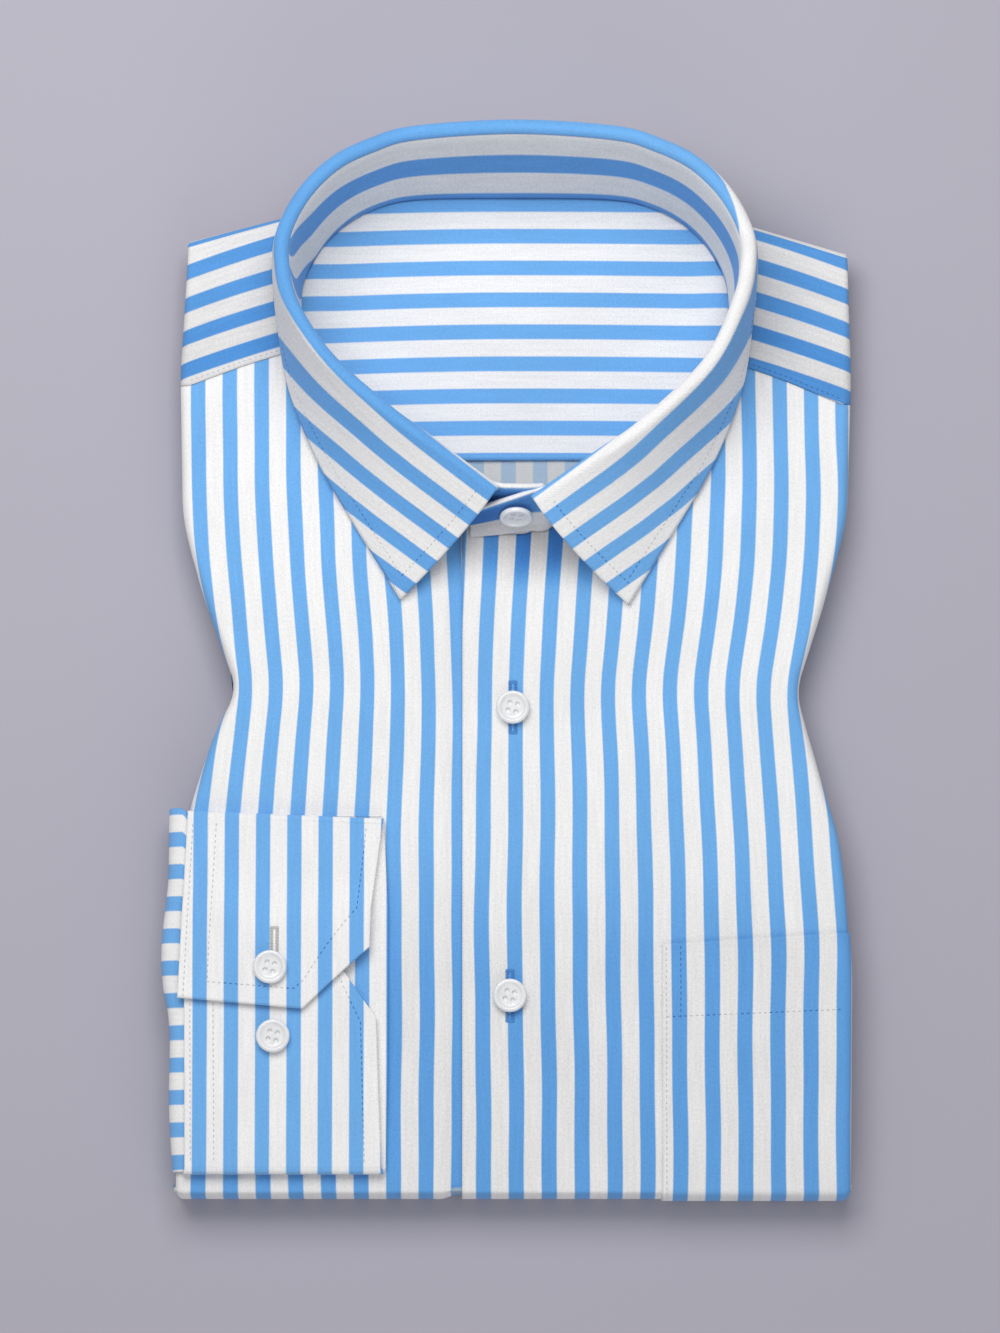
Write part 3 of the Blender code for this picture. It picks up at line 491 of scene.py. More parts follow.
def neckLine(side, x):
    seam = np.array(neckEdge, float)
    ways = alongCurve(seam, np.linspace(0.0, len(seam) - 1.0, 60))
    neck = np.interp(np.abs(x), ways[::-1, 0], ways[::-1, 1])
    underYoke = betweenShoulders(side, "seam", x) + seamBow(x) - fronts["seamGap"]
    limit = betweenShoulders(side, "seam", seam[0][0]) - fronts["seamGap"]
    return np.where(np.abs(x) >= seam[0][0], underYoke, np.minimum(neck, limit))


bottomRadius = fronts["chestHeight"] / 2
bottomCentre = shirt["bottomEdge"] + fronts["bottomReach"]


# a way in three stages, each from 0 to 1: flat, round a fold as an angle, and on from there
def stages(way):
    return np.clip(way, 0, 1), np.clip(way - 1, 0, 1) * math.pi, np.clip(way - 2, 0, 1)


# where the fronts lie: q runs across (0 to 1 flat, to 2 round the side fold, to 3 inside it),
# p runs down (0 to 1 on top, to 2 round the bottom fold, to 3 back along the underside)
def frontPoint(side, q, p, raised=0.0, start=None):
    start = shirt["frontEdge"] if start is None else start
    flat, turn, back = stages(q)
    top, fold, tail = stages(p)
    back = back * fronts["sideReturn"]
    x = mix(start, side * 100.0, flat)
    for _ in range(4):
        hem = fronts["tailHem"] - fronts["tailRise"] * (np.abs(x) / 105.0) ** 3
        y = np.where(p <= 1, mix(neckLine(side, x), bottomCentre, top), mix(bottomCentre, hem, tail))
        tailIn = np.where(p > 2, smooth((y - bottomCentre) / 30.0), 0.0)
        edge = halfWidth(side, y) - fronts["tailInset"] * tailIn
        lower = smooth((-30.0 - y) / 38.0)
        reach = mix(fronts["sideReach"], fronts["lowerFoldRadius"], np.where(p > 1, 1.0, lower))
        x = mix(start, side * (edge - reach), flat)
    height = topHeight(x, y)
    depth = (topHeight(edge, y) - fronts["upperFoldFloor"]) / 2
    depth = mix(depth, fronts["lowerFoldRadius"], np.where(p > 1, 1.0, lower))
    sway = creaseHeight(x, y) * smooth((110.0 - np.abs(x)) / 9.0)
    sway = sway * smooth((y - shirt["bottomEdge"] - 12) / 14.0)
    z = np.where(p <= 1, height + sway, bottomRadius * (1 + np.cos(fold)))
    outY, outZ = -np.sin(fold) * bottomRadius, np.cos(fold) * fronts["bottomReach"]
    size = np.hypot(outY, outZ)
    outY, outZ = outY / size, outZ / size
    yPlace = y - np.where(p > 1, fronts["bottomReach"] * np.sin(fold), 0.0)
    inset = depth * (1 - np.cos(turn)) - raised * np.cos(turn)
    if side < 0:
        inset = inset + fronts["lap"] * smooth((x + 25.0) / 6.0)
    px = x + side * ((reach + raised) * np.sin(turn) - back)
    points = join(px, yPlace - outY * inset, z - outZ * inset)
    # cloth lengths: the stripes' own flow across, and the distance from the bottom fold along
    flow = stripeFlow[side]
    level = np.where(p <= 1, yPlace, shirt["bottomEdge"])
    across = x + side * ((reach + depth) * 0.5 * turn + back)
    stripe = (across - readTable(flow["start"], level, 6.0)) / readTable(flow["pitch"], level, 6.0)
    stripe = stripe * shirt["pitch"]
    ripple = 0.16 * np.sin(level / 17.0 + x / 29.0) + 0.1 * np.sin(level / 7.3 - x / 13.0)
    along = np.where(p <= 1, y - bottomCentre, -(fold * 7.2) - tail * (hem - bottomCentre))
    return points, np.stack([stripe + ripple, along], axis=-1)


# painted shade: darker under the collar's opening, where the collar's shadow falls, and a little towards the
# bottom fold, in place of the light falling off there
def frontShade(x, y):
    collarShadow = 0.32 * smooth((y - 21.0) / 15.0) * bump((x - 7.0) / 30.0)
    return 1.0 - collarShadow - 0.07 * smooth((-55.0 - y) / 60.0)


def frontShape(side, start):
    def shape(u, v):
        if side < 0:
            u = 1.0 - u
        q = np.interp(u, (0.0, 0.86, 0.95, 1.0), (0.0, 1.0, 2.0, 3.0))
        p = np.interp(v, (0.0, 0.72, 0.78, 1.0), (0.0, 1.0, 2.0, 3.0))
        return frontPoint(side, q, p, start=start)

    return shape


def makeFront(name, side, start):
    shape = frontShape(side, start)

    # painted shade: the fronts' top takes frontShade, and from halfway round the bottom fold on the cloth is
    # kept at 0.93
    def shade(u, v):
        points, _ = shape(u, v)
        return np.where(v < 0.75, frontShade(points[:, 0], points[:, 1]), 0.93)

    makeCloth(name, (132, 330), shape, shirt["wall"], (striped, wrongSide), shade=shade)


makeFront("front_left_cloth", 1, shirt["frontEdge"])
makeFront("front_right_cloth", -1, fronts["underlap"])

print("pocket")
pocket = {
    "left": 48.9,
    "topLeft": -95.5,
    "topSide": -91.8,
    "hem": 24.5,
    "wall": 0.5,
    "gap": 0.15,
    "turn": 0.8,
    "flatAcross": 0.86,  # the pocket's shares that lie flat, across and down
    "flatDown": 0.9,
}


def pocketPlace(q, v):
    p = np.interp(v, (0.0, pocket["flatDown"], 1.0), (0.0, 1.0, 1.0 + pocket["turn"]))
    x = mix(pocket["left"], halfWidth(1, -140.0) - fronts["lowerFoldRadius"], np.clip(q, 0, 1))
    top = mix(pocket["topLeft"], pocket["topSide"], np.clip(q, 0, 1))
    y = mix(top, bottomCentre, np.clip(p, 0, 1))
    share = (neckLine(1, x) - y) / (neckLine(1, x) - bottomCentre)
    raised = pocket["wall"] + pocket["gap"] + 0.25 * bump(v / 0.03) * (q < 1)
    return frontPoint(1, q, np.where(p <= 1, share, p), raised, start=pocket["left"])


def pocketShape(u, v):
    return pocketPlace(np.interp(u, (0.0, pocket["flatAcross"], 1.0), (0.0, 1.0, 2.0)), v)


# painted shade: the pocket's colour kept at 0.93 all over
makeCloth("chest_pocket_cloth", (64, 90), pocketShape, pocket["wall"], (striped,), shade=lambda u, v: 0.93)

print("yoke and back")
yoke = {
    "underside": 8.3,
    "curl": 1.35,
    "backSeam": 68.5,
    "innerHeight": 9.3,
    "innerPitch": 0.982,
    "innerStart": 3.2,
    "slope": 0.304,  # the shoulder stripes fall this much towards the sides, from here
    "slopeFrom": 81.4,
    "stripeStart": {-1: 144.3, 1: 148.3},
    "stripePitch": {-1: 0.99, 1: 1.025},
}


def shoulderFold(side, x):
    line = betweenShoulders(side, "fold", x)
    t = np.clip((np.abs(x) - neckPoint[0]) / (shoulderSpan[0] - neckPoint[0]), 0.0, 1.0)
    return mix(neckPoint[1], line, np.sin(t * math.pi / 2) ** 0.5)


def shoulderShape(side):
    def shape(u, v):
        if side < 0:
            u = 1.0 - u
        q = np.interp(u, (0.0, 0.8, 1.0), (0.0, 1.0, 2.0))
        p = 3.0 - np.interp(v, (0.0, 0.3, 0.5, 1.0), (0.0, 1.0, 2.0, 3.0))
        # p: 0 to 1 from the front seam up, to 2 over the shoulder fold, to 3 along the underside
        flat, turn, _ = stages(q)
        top, fold, under = stages(p)
        x = mix(neckPoint[0], 110.0, flat)
        upwards = np.where(p <= 1, smooth((top - 0.3) / 0.7), 1.0)
        for _ in range(3):
            seam, crest = betweenShoulders(side, "seam", x), shoulderFold(side, x)
            radius = (topHeight(x, seam) - yoke["underside"]) / 2
            reach = radius * 0.75
            y = mix(seam, crest - reach, top) - 22.0 * under + seamBow(x) * (1 - top)
            curl = mix(fronts["sideReach"], yoke["curl"], upwards)
            edge = halfWidth(side, np.minimum(y, 138.0)) - 0.4 * smooth(top) - 6.0 * under
            x = mix(neckPoint[0], edge - curl, flat)
        z = np.where(p <= 1, topHeight(x, seam), yoke["underside"] + radius * (1 + np.cos(fold)))
        z = z + 0.35 * np.sin(x / 5.0 + y / 9.0) * bump((top - 0.5) / 0.5) * (p <= 1)
        outY, outZ = np.sin(fold), np.cos(fold)
        depth = mix((topHeight(x, seam) - fronts["upperFoldFloor"]) / 2, yoke["curl"], upwards)
        inset = depth * (1 - np.cos(turn))
        px = x + curl * np.sin(turn)
        py = y + np.where(p > 1, reach * np.sin(fold), 0.0)
        points = join(side * px, py - outY * inset, z - outZ * inset)
        lean = math.sqrt(1 + yoke["slope"] ** 2)
        beyond = px - yoke["slopeFrom"]
        along = py + yoke["slope"] * beyond + 0.0012 * beyond ** 2
        stripe = (yoke["stripeStart"][side] - along) / lean / yoke["stripePitch"][side]
        stripe = np.where(p > 1, stripe - fold * 4.0, stripe)
        return points, np.stack([stripe, side * px * lean], axis=-1)

    return shape


def backNeck(x):
    seam = np.array(backNeckEdge, float)
    ways = alongCurve(seam, np.linspace(0.0, len(seam) - 1.0, 60))
    return np.interp(np.abs(x), ways[:, 0], ways[:, 1]) + 0.4


def innerYokeShape(u, v):
    x = mix(-99.0, 99.0, u)
    beside = mix(neckPoint[1], 118.0, (np.abs(x) - neckPoint[0]) / 25.6)
    y = mix(np.where(np.abs(x) < neckPoint[0], backNeck(x), beside), yoke["backSeam"], v)
    lift = 2.6 * np.exp(-(((np.abs(x) - 70.0) / 8.0) ** 2)) * smooth((y - 100.0) / 25.0)
    z = yoke["innerHeight"] + lift * (np.abs(x) < 78) + 0.35 * np.sin(x / 23.0 + 1.2) * np.sin(y / 15.0)
    fall = np.where(x < 0, 1.5, 0.5) * (x / 65.0) ** 2
    stripe = (155.4 - (y + fall)) * yoke["innerPitch"] + yoke["innerStart"]
    return join(x, y, z), np.stack([stripe, x], axis=-1)


# painted shade: both shoulders darker all over, and a little darker still in a band near the front seam
def shoulderShade(u, v):
    return 0.885 - 0.05 * bump((v - 0.9) / 0.2)


joinInto(*(
    makeCloth(name, cells, shape, shirt["wall"], (striped,), shade=shade)
    for name, cells, shape, shade in (
        ("yoke_cloth", (60, 84), shoulderShape(1), shoulderShade),
        ("yoke_right_shoulder", (60, 84), shoulderShape(-1), shoulderShade),
        ("yoke_inner", (150, 70), innerYokeShape, None),
    )
))


backPanel = {  # half its width and its height, down the shirt
    "half": ((76, 94), (30, 94), (4, 84), (-10, 82), (-60, 95), (-166, 98)),
    "height": ((80, 7.8), (52, 7.8), (30, 10.8), (4, 14.0), (-170, 14.0)),
}


def backShape(u, v):
    y = mix(76.0, -166.0, v)
    x = readTable(backPanel["half"], y, 3.0) * (2 * u - 1)
    z = readTable(backPanel["height"], y, 8.0)
    return join(x, y, z + 0.2 * np.sin(x / 14.0) * (y > 30)), np.stack([x + 15.4, y], axis=-1)


makeCloth("back_cloth", (90, 60), backShape, shirt["wall"], (wrongSide, striped))

print("hidden layers")
plies = {
    "levels": (3.2, 3.75, 4.3, 4.85, 5.35, 5.9, 6.3),  # the plies lie between these heights
    "insets": (17.2, 16.9, 17.4, 17.0, 6.6, 6.4),
    "tops": (131.5, 133.0, 131.0, 134.0, 132.4, 133.0),
    "sleeveRoom": 95.5,
    "bottom": -168.0,
}
sleeve = {
    "top": -50.6,
    "bottom": -171.2,
    "hidden": -97.0,
    "fold": -110.8,
    "low": 6.5,
    "high": 20.15,
    "thick": 1.5,
    "intoCuff": 6.0,
    "stripeStart": 106.3,
    # how far in from the fold the side lies, up the shirt
    "side": ((-165, 4.1), (-145, 3.5), (-127, 3.4), (-117, 2.7), (-112.5, 1.5), (-103, 0.8), (-94, 1.0),
             (-84, 1.9), (-75, 2.6), (-50, 2.6)),
}


def hiddenShape(u, v):
    inner = ((6.35, 16.0, 48.0), (7.6, 16.0, 38.0), (12.4, 17.0, 2.0))
    rows = []
    for i, (inset, top) in enumerate(zip(plies["insets"], plies["tops"])):
        low, high = plies["levels"][i], plies["levels"][i + 1]
        for a in np.linspace(0.0, math.pi, 6):
            shadedColour = 0.7 * (1 - math.sin(a))
            rows.append((mix(low, high, (1 - math.cos(a)) / 2), inset + shadedColour, top - shadedColour))
    rows = [(rows[0][0], 60.0, 60.0)] + rows + list(inner) + [(12.45, 60.0, -20.0)]
    rows = np.array(rows)
    k = (1.0 - v) * (len(rows) - 1)
    z, inset, top = (np.interp(k, np.arange(len(rows)), rows[:, i]) for i in range(3))
    turn = u * math.tau
    # round the ring: an oval whose corners are squared, then fitted to the outline
    c, s = np.cos(turn), np.sin(turn)
    c, s = np.sign(c) * np.abs(c) ** 0.14, np.sign(s) * np.abs(s) ** 0.14
    y = mix(plies["bottom"] + (inset - 6.4) * 0.4, top, (s + 1) / 2)
    half = np.where(c > 0, halfWidth(1, y), halfWidth(-1, y)) - inset
    away = np.maximum(y - sleeve["top"], sleeve["bottom"] - y)
    notch = np.maximum(0.0, half + inset - plies["sleeveRoom"] - inset) * smooth(1.0 - (away - 1.0) / 3.0)
    half = half - np.where(c < 0, notch, 0.0)
    return join(half * c, y, z), np.stack([half * c + z * 2, y], axis=-1)


makeCloth("folded_layers_cloth", (300, 44), hiddenShape, 0.4, (striped,), closed=True)

print("collar")


def ringOf(key):
    left, right = ((collar[key] + collar.get(key + "Front", {side: ()})[side]) for side in (-1, 1))
    return np.array([(-x, y, z) for x, y, z in left[:0:-1]] + list(right), float)


rings = {key: ringOf(key) for key in ("seam", "roll", "edge")}
collarEnd = len(rings["seam"]) - 1
up = np.array([0.0, 0.0, 1.0])


# keeps an edge of the collar above the fronts, and lets it down behind the neck
def restOn(line, gap, behind):
    rest = topHeight(line[..., 0], line[..., 1]) + gap - behind * smooth((line[..., 1] - 108.0) / 24.0)
    line[..., 2] = np.maximum(line[..., 2], rest)


def collarFrame(t):
    seam, roll, edge = (alongCurve(rings[key], t) for key in ("seam", "roll", "edge"))
    restOn(seam, collar["seamRest"], 8.0)
    restOn(edge, collar["leafRest"], 12.0)
    near, far = (alongCurve(rings["roll"], np.clip(t + step, 0.0, collarEnd)) for step in (-0.05, 0.05))
    ahead = far - near
    outward = unit(join(-ahead[..., 1], ahead[..., 0], 0.0))
    return seam, roll, edge, outward


def startAngle(seam, roll, outward):
    run = ((roll - seam) * outward).sum(-1)
    return math.pi - np.arctan2(run, roll[..., 2] - seam[..., 2])


def roundRoll(roll, outward, angle):
    angle = angle[..., None]
    return roll + collar["rollRadius"] * (outward * np.cos(angle) + up * np.sin(angle))


def leafPlace(t, w):
    seam, roll, edge, outward = collarFrame(t)
    run = np.hypot(edge[..., 0] - roll[..., 0], edge[..., 1] - roll[..., 1])
    drop = roll[..., 2] - edge[..., 2]
    last = np.maximum(math.pi / 2 - np.arctan2(drop, run), math.radians(4.0))
    share = collar["rollShare"]
    around = roundRoll(roll, outward, mix(startAngle(seam, roll, outward), last, np.clip(w / share, 0, 1)))
    start, end = roundRoll(roll, outward, last), last[..., None]
    length = np.linalg.norm(edge - roll, axis=-1)
    bend = start + (outward * np.sin(end) - up * np.cos(end)) * (0.33 * length)[..., None]
    f = np.clip((w - share) / (1 - share), 0, 1)[..., None]
    fall = start * (1 - f) ** 2 + bend * 2 * f * (1 - f) + edge * f**2
    return np.where((w <= share)[..., None], around, fall), length


leafStripes = {
    "pitch": ((0, 9.85), (1.5, 9.7), (3, 9.5), (19, 9.5), (20.5, 9.7), (22, 9.85)),  # as it looks from above
    # where the first blue stripe starts, outwards from the roll's inner side, along the collar
    "start": ((0, 1.5), (0.42, 1.43), (1, 1.04), (2, -0.15), (3.2, -0.8), (4.6, 0.1), (13.6, 0.1),
              (14.6, -0.2), (16.1, -3.7), (18.6, -5.5), (19.4, -5.4), (19.93, -4.9), (21, -3.2), (22, -2.6)),
}


# the stripes follow the roll, spaced by how far out the cloth lies, and by its own length at the back
def leafCloth(t, w):
    point, length = leafPlace(t, w)
    stations = np.linspace(0.0, collarEnd, 441)
    _, roll, _, outward = collarFrame(stations)
    flat = point.reshape(-1, 3)
    parts = np.array_split(flat, len(flat) // 4000 + 1)
    nearest = np.concatenate([
        ((part[:, None, :2] - roll[None, :, :2]) ** 2).sum(-1).argmin(1) for part in parts
    ])
    inner = collar["rollRadius"] + collar["leafWall"] / 2
    out = (((flat - roll[nearest]) * outward[nearest]).sum(-1) + inner).reshape(np.shape(t))
    share = collar["rollShare"]
    fall = 2 * inner + np.clip((w - share) / (1 - share), 0, 1) * length
    behind = smooth((7.0 - np.abs(t - collarEnd / 2)) / 2.5) * (w > share)
    station = mix(stations[nearest].reshape(np.shape(t)), t, behind)
    across = mix(out, fall, behind) - readTable(leafStripes["start"], station, 0.25)
    stripe = across * shirt["pitch"] / readTable(leafStripes["pitch"], station, 0.25)
    return point, np.stack([stripe, t * 21.0], axis=-1)


def leafShape(u, v):
    return leafCloth((1 - u) * collarEnd, np.interp(v, (0, 0.3, 1.0), (0.0, collar["rollShare"], 1.0)))


# painted shade: the leaf's half at negative x (u over 0.5) 5% darker than the other half
def leafShade(u, v):
    return 1.0 - 0.05 * smooth((u - 0.4) / 0.2)


makeCloth("collar_leaf_cloth", (420, 70), leafShape, collar["leafWall"], (striped,), offset=0.0,
          shade=leafShade)

tabs = {  # the buttoned ends of the stand: the inner one first, then the outer one, towards their tips
    "innerSeam": ((-10, 46.5, 22.7), (-5, 45.2, 22.8), (0, 44.3, 22.8), (6, 44.6, 22.8), (9.5, 45.2, 22.7)),
    "innerTop": ((-10, 57.4, 41.5), (-5, 55.7, 41.4), (0, 55.5, 41.3), (6, 55.5, 41.0), (9.5, 55.8, 40.4)),
    "outerSeam": ((11.4, 44.0, 22.7), (5, 43.1, 22.8), (0, 42.5, 22.8), (-8, 41.6, 22.8), (-15, 41.2, 22.6)),
    "outerTop": ((11.3, 55.3, 41.2), (5, 53.7, 40.3), (0, 52.1, 39.5), (-8, 49.7, 38.0), (-15, 47.5, 36.5)),
}


def standRing():
    t = np.linspace(0.5, collarEnd - 0.5, 160)
    seam, roll, _, outward = collarFrame(t)
    top = roundRoll(roll, outward, startAngle(seam, roll, outward)) - up * 0.5
    ends = {key: np.array(rows, float) for key, rows in tabs.items()}
    seam = np.concatenate([ends["innerSeam"][::-1], seam, ends["outerSeam"]])
    return seam, np.concatenate([ends["innerTop"][::-1], top, ends["outerTop"]])


standSeam, standTop = standRing()
standSteps = np.concatenate([[0.0], np.cumsum(np.linalg.norm(np.diff(standTop, axis=0), axis=-1))])
standLength = standSteps[-1]
standStripes = {  # how many stripes down the cloth is at the stand's top and at its seam, by mm from the back
    "top": ((0, 0.463), (60, 0.463), (80, 0.62), (96, 1.0), (101, 1.463), (105, 2.0), (108, 2.463), (111, 3.0),
            (125, 3.6), (200, 3.97), (260, 3.97)),
    "seam": ((0, 2.13), (60, 2.13), (85, 2.02), (100, 2.45), (110, 3.1), (125, 3.9), (200, 4.92),
             (260, 4.92)),
}


def standShape(u, v):
    at = np.interp((1 - u) * standLength, standSteps, np.arange(len(standSteps)))
    seam, top = alongCurve(standSeam, at), alongCurve(standTop, at)
    point = top + (seam - top) * v[..., None]
    fromBack = np.abs((1 - u) - 0.5) * standLength
    fromBack = fromBack - np.where(u > 0.5, 0.0, 5.0) * smooth(2.0 - fromBack / 90.0)
    phase = readTable(standStripes["top"], fromBack, 2.0)
    spans = readTable(standStripes["seam"], fromBack, 2.0) - phase
    return point, np.stack([(phase + spans * v) * shirt["pitch"], u * standLength], axis=-1)


# painted shade: the stand 10% darker below its top edge away from its ends, and its buttoned tabs up to 36%
# darker where the leaves hang over them
def standShade(u, v):
    fromBack = np.abs((1 - u) - 0.5) * standLength
    tab = smooth((fromBack - 195.0) / 25.0)
    leafShadow = smooth((v - 0.03) / 0.12) * smooth((1.35 - v) / 0.9)
    return 1.0 - 0.10 * (1 - tab) * smooth(v / 0.15) - 0.36 * tab * leafShadow


makeCloth("collar_stand_cloth", (420, 26), standShape, collar["standWall"], (striped,), offset=0.0,
          shade=standShade)

print("sleeve and cuff")


# a flat tube from inside the package, round its side and in between the cuff's two layers
def sleeveShape(u, v):
    middle, half = (sleeve["top"] + sleeve["bottom"]) / 2, (sleeve["top"] - sleeve["bottom"]) / 2
    flattened = smooth((v - 0.5) / 0.3)
    rise = sleeve["thick"] / 2 * (1 - 0.94 * flattened)
    turn = u * math.tau
    along = (half - rise) * np.sign(np.cos(turn)) * np.abs(np.cos(turn)) ** 0.55 + rise * np.cos(turn)
    fold = sleeve["fold"] + readTable(sleeve["side"], middle + along, 2.0)
    radius, centre = (sleeve["high"] - sleeve["low"]) / 2, (sleeve["high"] + sleeve["low"]) / 2
    angle = np.clip((v - 0.2) / 0.6, 0, 1) * math.pi
    x = np.where(v < 0.2, mix(sleeve["hidden"], fold, v / 0.2), fold - radius * np.sin(angle))
    x = x + sleeve["intoCuff"] * np.clip((v - 0.8) / 0.2, 0, 1)
    z = centre - radius * np.sign(np.cos(angle)) * np.abs(np.cos(angle)) ** 0.5
    lift = rise * np.sin(turn) + 0.25 * np.sin(along / 9.0) * np.sin(angle)
    y = middle + along * (1 - 0.07 * smooth((v - 0.72) / 0.1))
    points = join(x - np.sin(angle) * lift, y, z - np.cos(angle) * lift)
    return points, np.stack([middle + along + sleeve["stripeStart"], v * 48.0], axis=-1)


makeCloth("sleeve_right_cloth", (300, 40), sleeveShape, 0.7, (striped,), offset=0.0, closed=True)

cuff = {
    "wall": 1.6,
    "zUnder": 18.9,
    "zMiddle": 21.4,
    "zOver": 23.6,
    "stripeStart": -107.2,
    "liningStart": -53.3,
    "stripePitch": 10.42,
    "foldTop": -52.0,
    "foldBottom": -171.6,
}
# stations along the cuff's strip: share of the length, left and right edges
cuffSides = {
    "left": ((0.0, -112.2), (0.18, -109.2), (0.24, -109.0), (0.40, -110.0), (0.60, -110.6), (0.68, -109.6),
             (1.0, -110.2)),
    "right": ((0.0, -48.4), (0.06, -47.9), (0.18, -44.2), (0.24, -43.8), (0.33, -42.4), (0.50, -42.4),
              (0.60, -42.9), (0.68, -44.4), (1.0, -46.2)),
}
cuffEnds = {  # where each end is cut, across the cuff's width: share of the width, place along the shirt
    "upper": ((0.0, -113.9), (0.65, -117.6), (1.0, -96.5)),
    "lower": ((0.0, -92.0), (0.69, -92.0), (0.845, -106.2), (1.0, -120.5)),
}


# across runs from edge to edge; down runs 0 to 1 along the upper end, to 2 round the top fold, to 3 along
# the under layer, to 4 round the bottom fold, to 5 along the lower end
def cuffPlace(across, down):
    upper, fold1, under = stages(down)
    _, fold2, lower = stages(down - 2)
    radius = (cuff["zMiddle"] - cuff["zUnder"]) / 2
    topY, bottomY = cuff["foldTop"] - radius, cuff["foldBottom"] + radius
    upperEnd, lowerEnd = readTable(cuffEnds["upper"], across), readTable(cuffEnds["lower"], across)

    def pick(*values):
        return np.select([down <= 1, down <= 2, down <= 3, down <= 4], values[:4], values[4])

    y = pick(mix(upperEnd, topY, upper), topY + radius * np.sin(fold1), mix(topY, bottomY, under),
             bottomY - radius * np.sin(fold2), mix(bottomY, lowerEnd, lower))
    over = mix(cuff["zOver"], cuff["zMiddle"], smooth((y + 88.0) / 16.0))
    flat = np.zeros_like(y)
    z = pick(over, cuff["zUnder"] + radius * (1 + np.cos(fold1)), cuff["zUnder"] + flat,
             cuff["zUnder"] + radius * (1 - np.cos(fold2)), cuff["zMiddle"] + flat)
    share = np.interp(down, (0, 1, 2, 3, 4, 5), (0.0, 0.18, 0.24, 0.60, 0.68, 1.0))
    x = mix(readTable(cuffSides["left"], share), readTable(cuffSides["right"], share), across)
    swell = np.where(down <= 1, 1.0, 0.3) * smooth(np.abs(y - cuff["foldTop"]) / 12.0)
    z = z + 0.25 * np.sin(across * math.pi) * swell
    y = y - 2.7 * across * np.where(down <= 2, smooth((y + 110) / 50.0), 0.0)
    along = pick(y, topY + fold1, 2 * topY - y, 2 * topY - bottomY + fold2, 2 * topY - 2 * bottomY + y)
    return join(x, y, z), x, along


def cuffShape(u, v):
    down = np.interp(v, (0.0, 0.22, 0.26, 0.58, 0.62, 1.0), (0.0, 1.0, 2.0, 3.0, 4.0, 5.0))
    point, x, along = cuffPlace(u, down)
    # the layer between the folds shows its lining, whose stripes lie elsewhere
    start = np.where((down > 1.5) & (down < 3.5), cuff["liningStart"], cuff["stripeStart"])
    return point, np.stack([(x - start) * shirt["pitch"] / cuff["stripePitch"], along], axis=-1)


cuffPiece = makeCloth("cuff_right_cloth", (110, 260), cuffShape, cuff["wall"], (striped,), offset=0.0)
cuffPiece.data.flip_normals()

print("buttons")
buttons = {
    "radius": 5.6,
    "thick": 1.9,
    "turned": -13.0,  # how the holes lie, in degrees from square
    "holeRadius": 0.75,
    "holeSpread": 1.3,
    # the turned profile: across the underside, round the rim, down into the dished middle
    "profile": ((0.0, 0.0, 0.0), (0.2, 0.80, 0.0), (0.27, 0.95, 0.12), (0.33, 1.0, 0.42), (0.38, 0.985, 0.72),
                (0.43, 0.93, 0.93), (0.47, 0.86, 1.0), (0.52, 0.78, 0.97), (0.58, 0.70, 0.78),
                (0.64, 0.62, 0.66), (0.72, 0.5, 0.62), (1.0, 0.0, 0.60)),
    "places": (
        ("button_collar", 0.4, 46.7, 32.7, 66.0),
        ("button_front_upper", -0.7, -16.4, 19.1, 3.0),
        ("button_front_lower", -1.7, -112.9, 18.7, 0.0),
        ("button_cuff_upper", -81.4, -103.8, 25.4, 0.0),
        ("button_cuff_lower", -80.4, -126.6, 23.3, 0.0),
    ),
}


def shellMaterial():
    pearl = {"Coat Weight": 0.6, "Coat Roughness": 0.08, "Subsurface Weight": 0.15,
             "Subsurface Radius": (0.002, 0.002, 0.002)}
    made, tree, shader = newMaterial("pearly button shell", pearl)
    place = tree.nodes.new("ShaderNodeTexCoord").outputs["Object"]
    clouds = noiseNode(tree, place, (260.0, 260.0, 260.0), 4.0, 0.6)
    sheen = noiseNode(tree, place, (90.0, 420.0, 90.0), turn=0.6)
    colour = mixNode(tree, clouds, (0.72, 0.72, 0.73, 1.0), (0.94, 0.94, 0.94, 1.0))
    colour = mixNode(tree, mathNode(tree, "MULTIPLY", sheen, 0.35), colour, (0.88, 0.89, 0.92, 1.0))
    tree.links.new(colour, shader.inputs["Base Color"])
    tree.links.new(mathNode(tree, "MULTIPLY_ADD", clouds, 0.16, 0.18), shader.inputs["Roughness"])
    return made


shell = shellMaterial()


def makeButton(name, x, y, z, lean):
    mesh, across, along = gridMesh(name, 96, 60)
    turn, down = (across + 0.5) * math.tau, along + 0.5
    keys = np.array(buttons["profile"])
    r = np.interp(down, keys[:, 0], keys[:, 1]) * buttons["radius"]
    h = np.interp(down, keys[:, 0], keys[:, 2]) * buttons["thick"]
    px, py = r * np.cos(turn), r * np.sin(turn)
    spread = buttons["holeSpread"] * 1.414
    for i in range(4):
        angle = math.tau * (i + 0.5) / 4 + math.radians(buttons["turned"])
        away = np.hypot(px - spread * math.cos(angle), py - spread * math.sin(angle))
        sunk = smooth((buttons["holeRadius"] + 0.12 - away) / 0.24) * 0.8
        h = h - np.where(down > 0.5, sunk, 0.0)
    c, s = math.cos(math.radians(lean)), math.sin(math.radians(lean))
    points = join(px + x, py * c - h * s + y, py * s + h * c + z)
    mesh.vertices.foreach_set("co", toPart(points).ravel())
    weld(mesh, 0.005, faceOut=True)
    piece = addPiece(name + "_shell", mesh, (shell,))
    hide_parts(name)


for place in buttons["places"]:
    makeButton(*place)

print("stitches and buttonholes")
sewing = {
    "pitch": 1.9,
    "length": 1.15,
    "width": 0.38,
    "height": 0.32,
    "holeLength": 17.0,
    "holeWidth": 3.2,
}


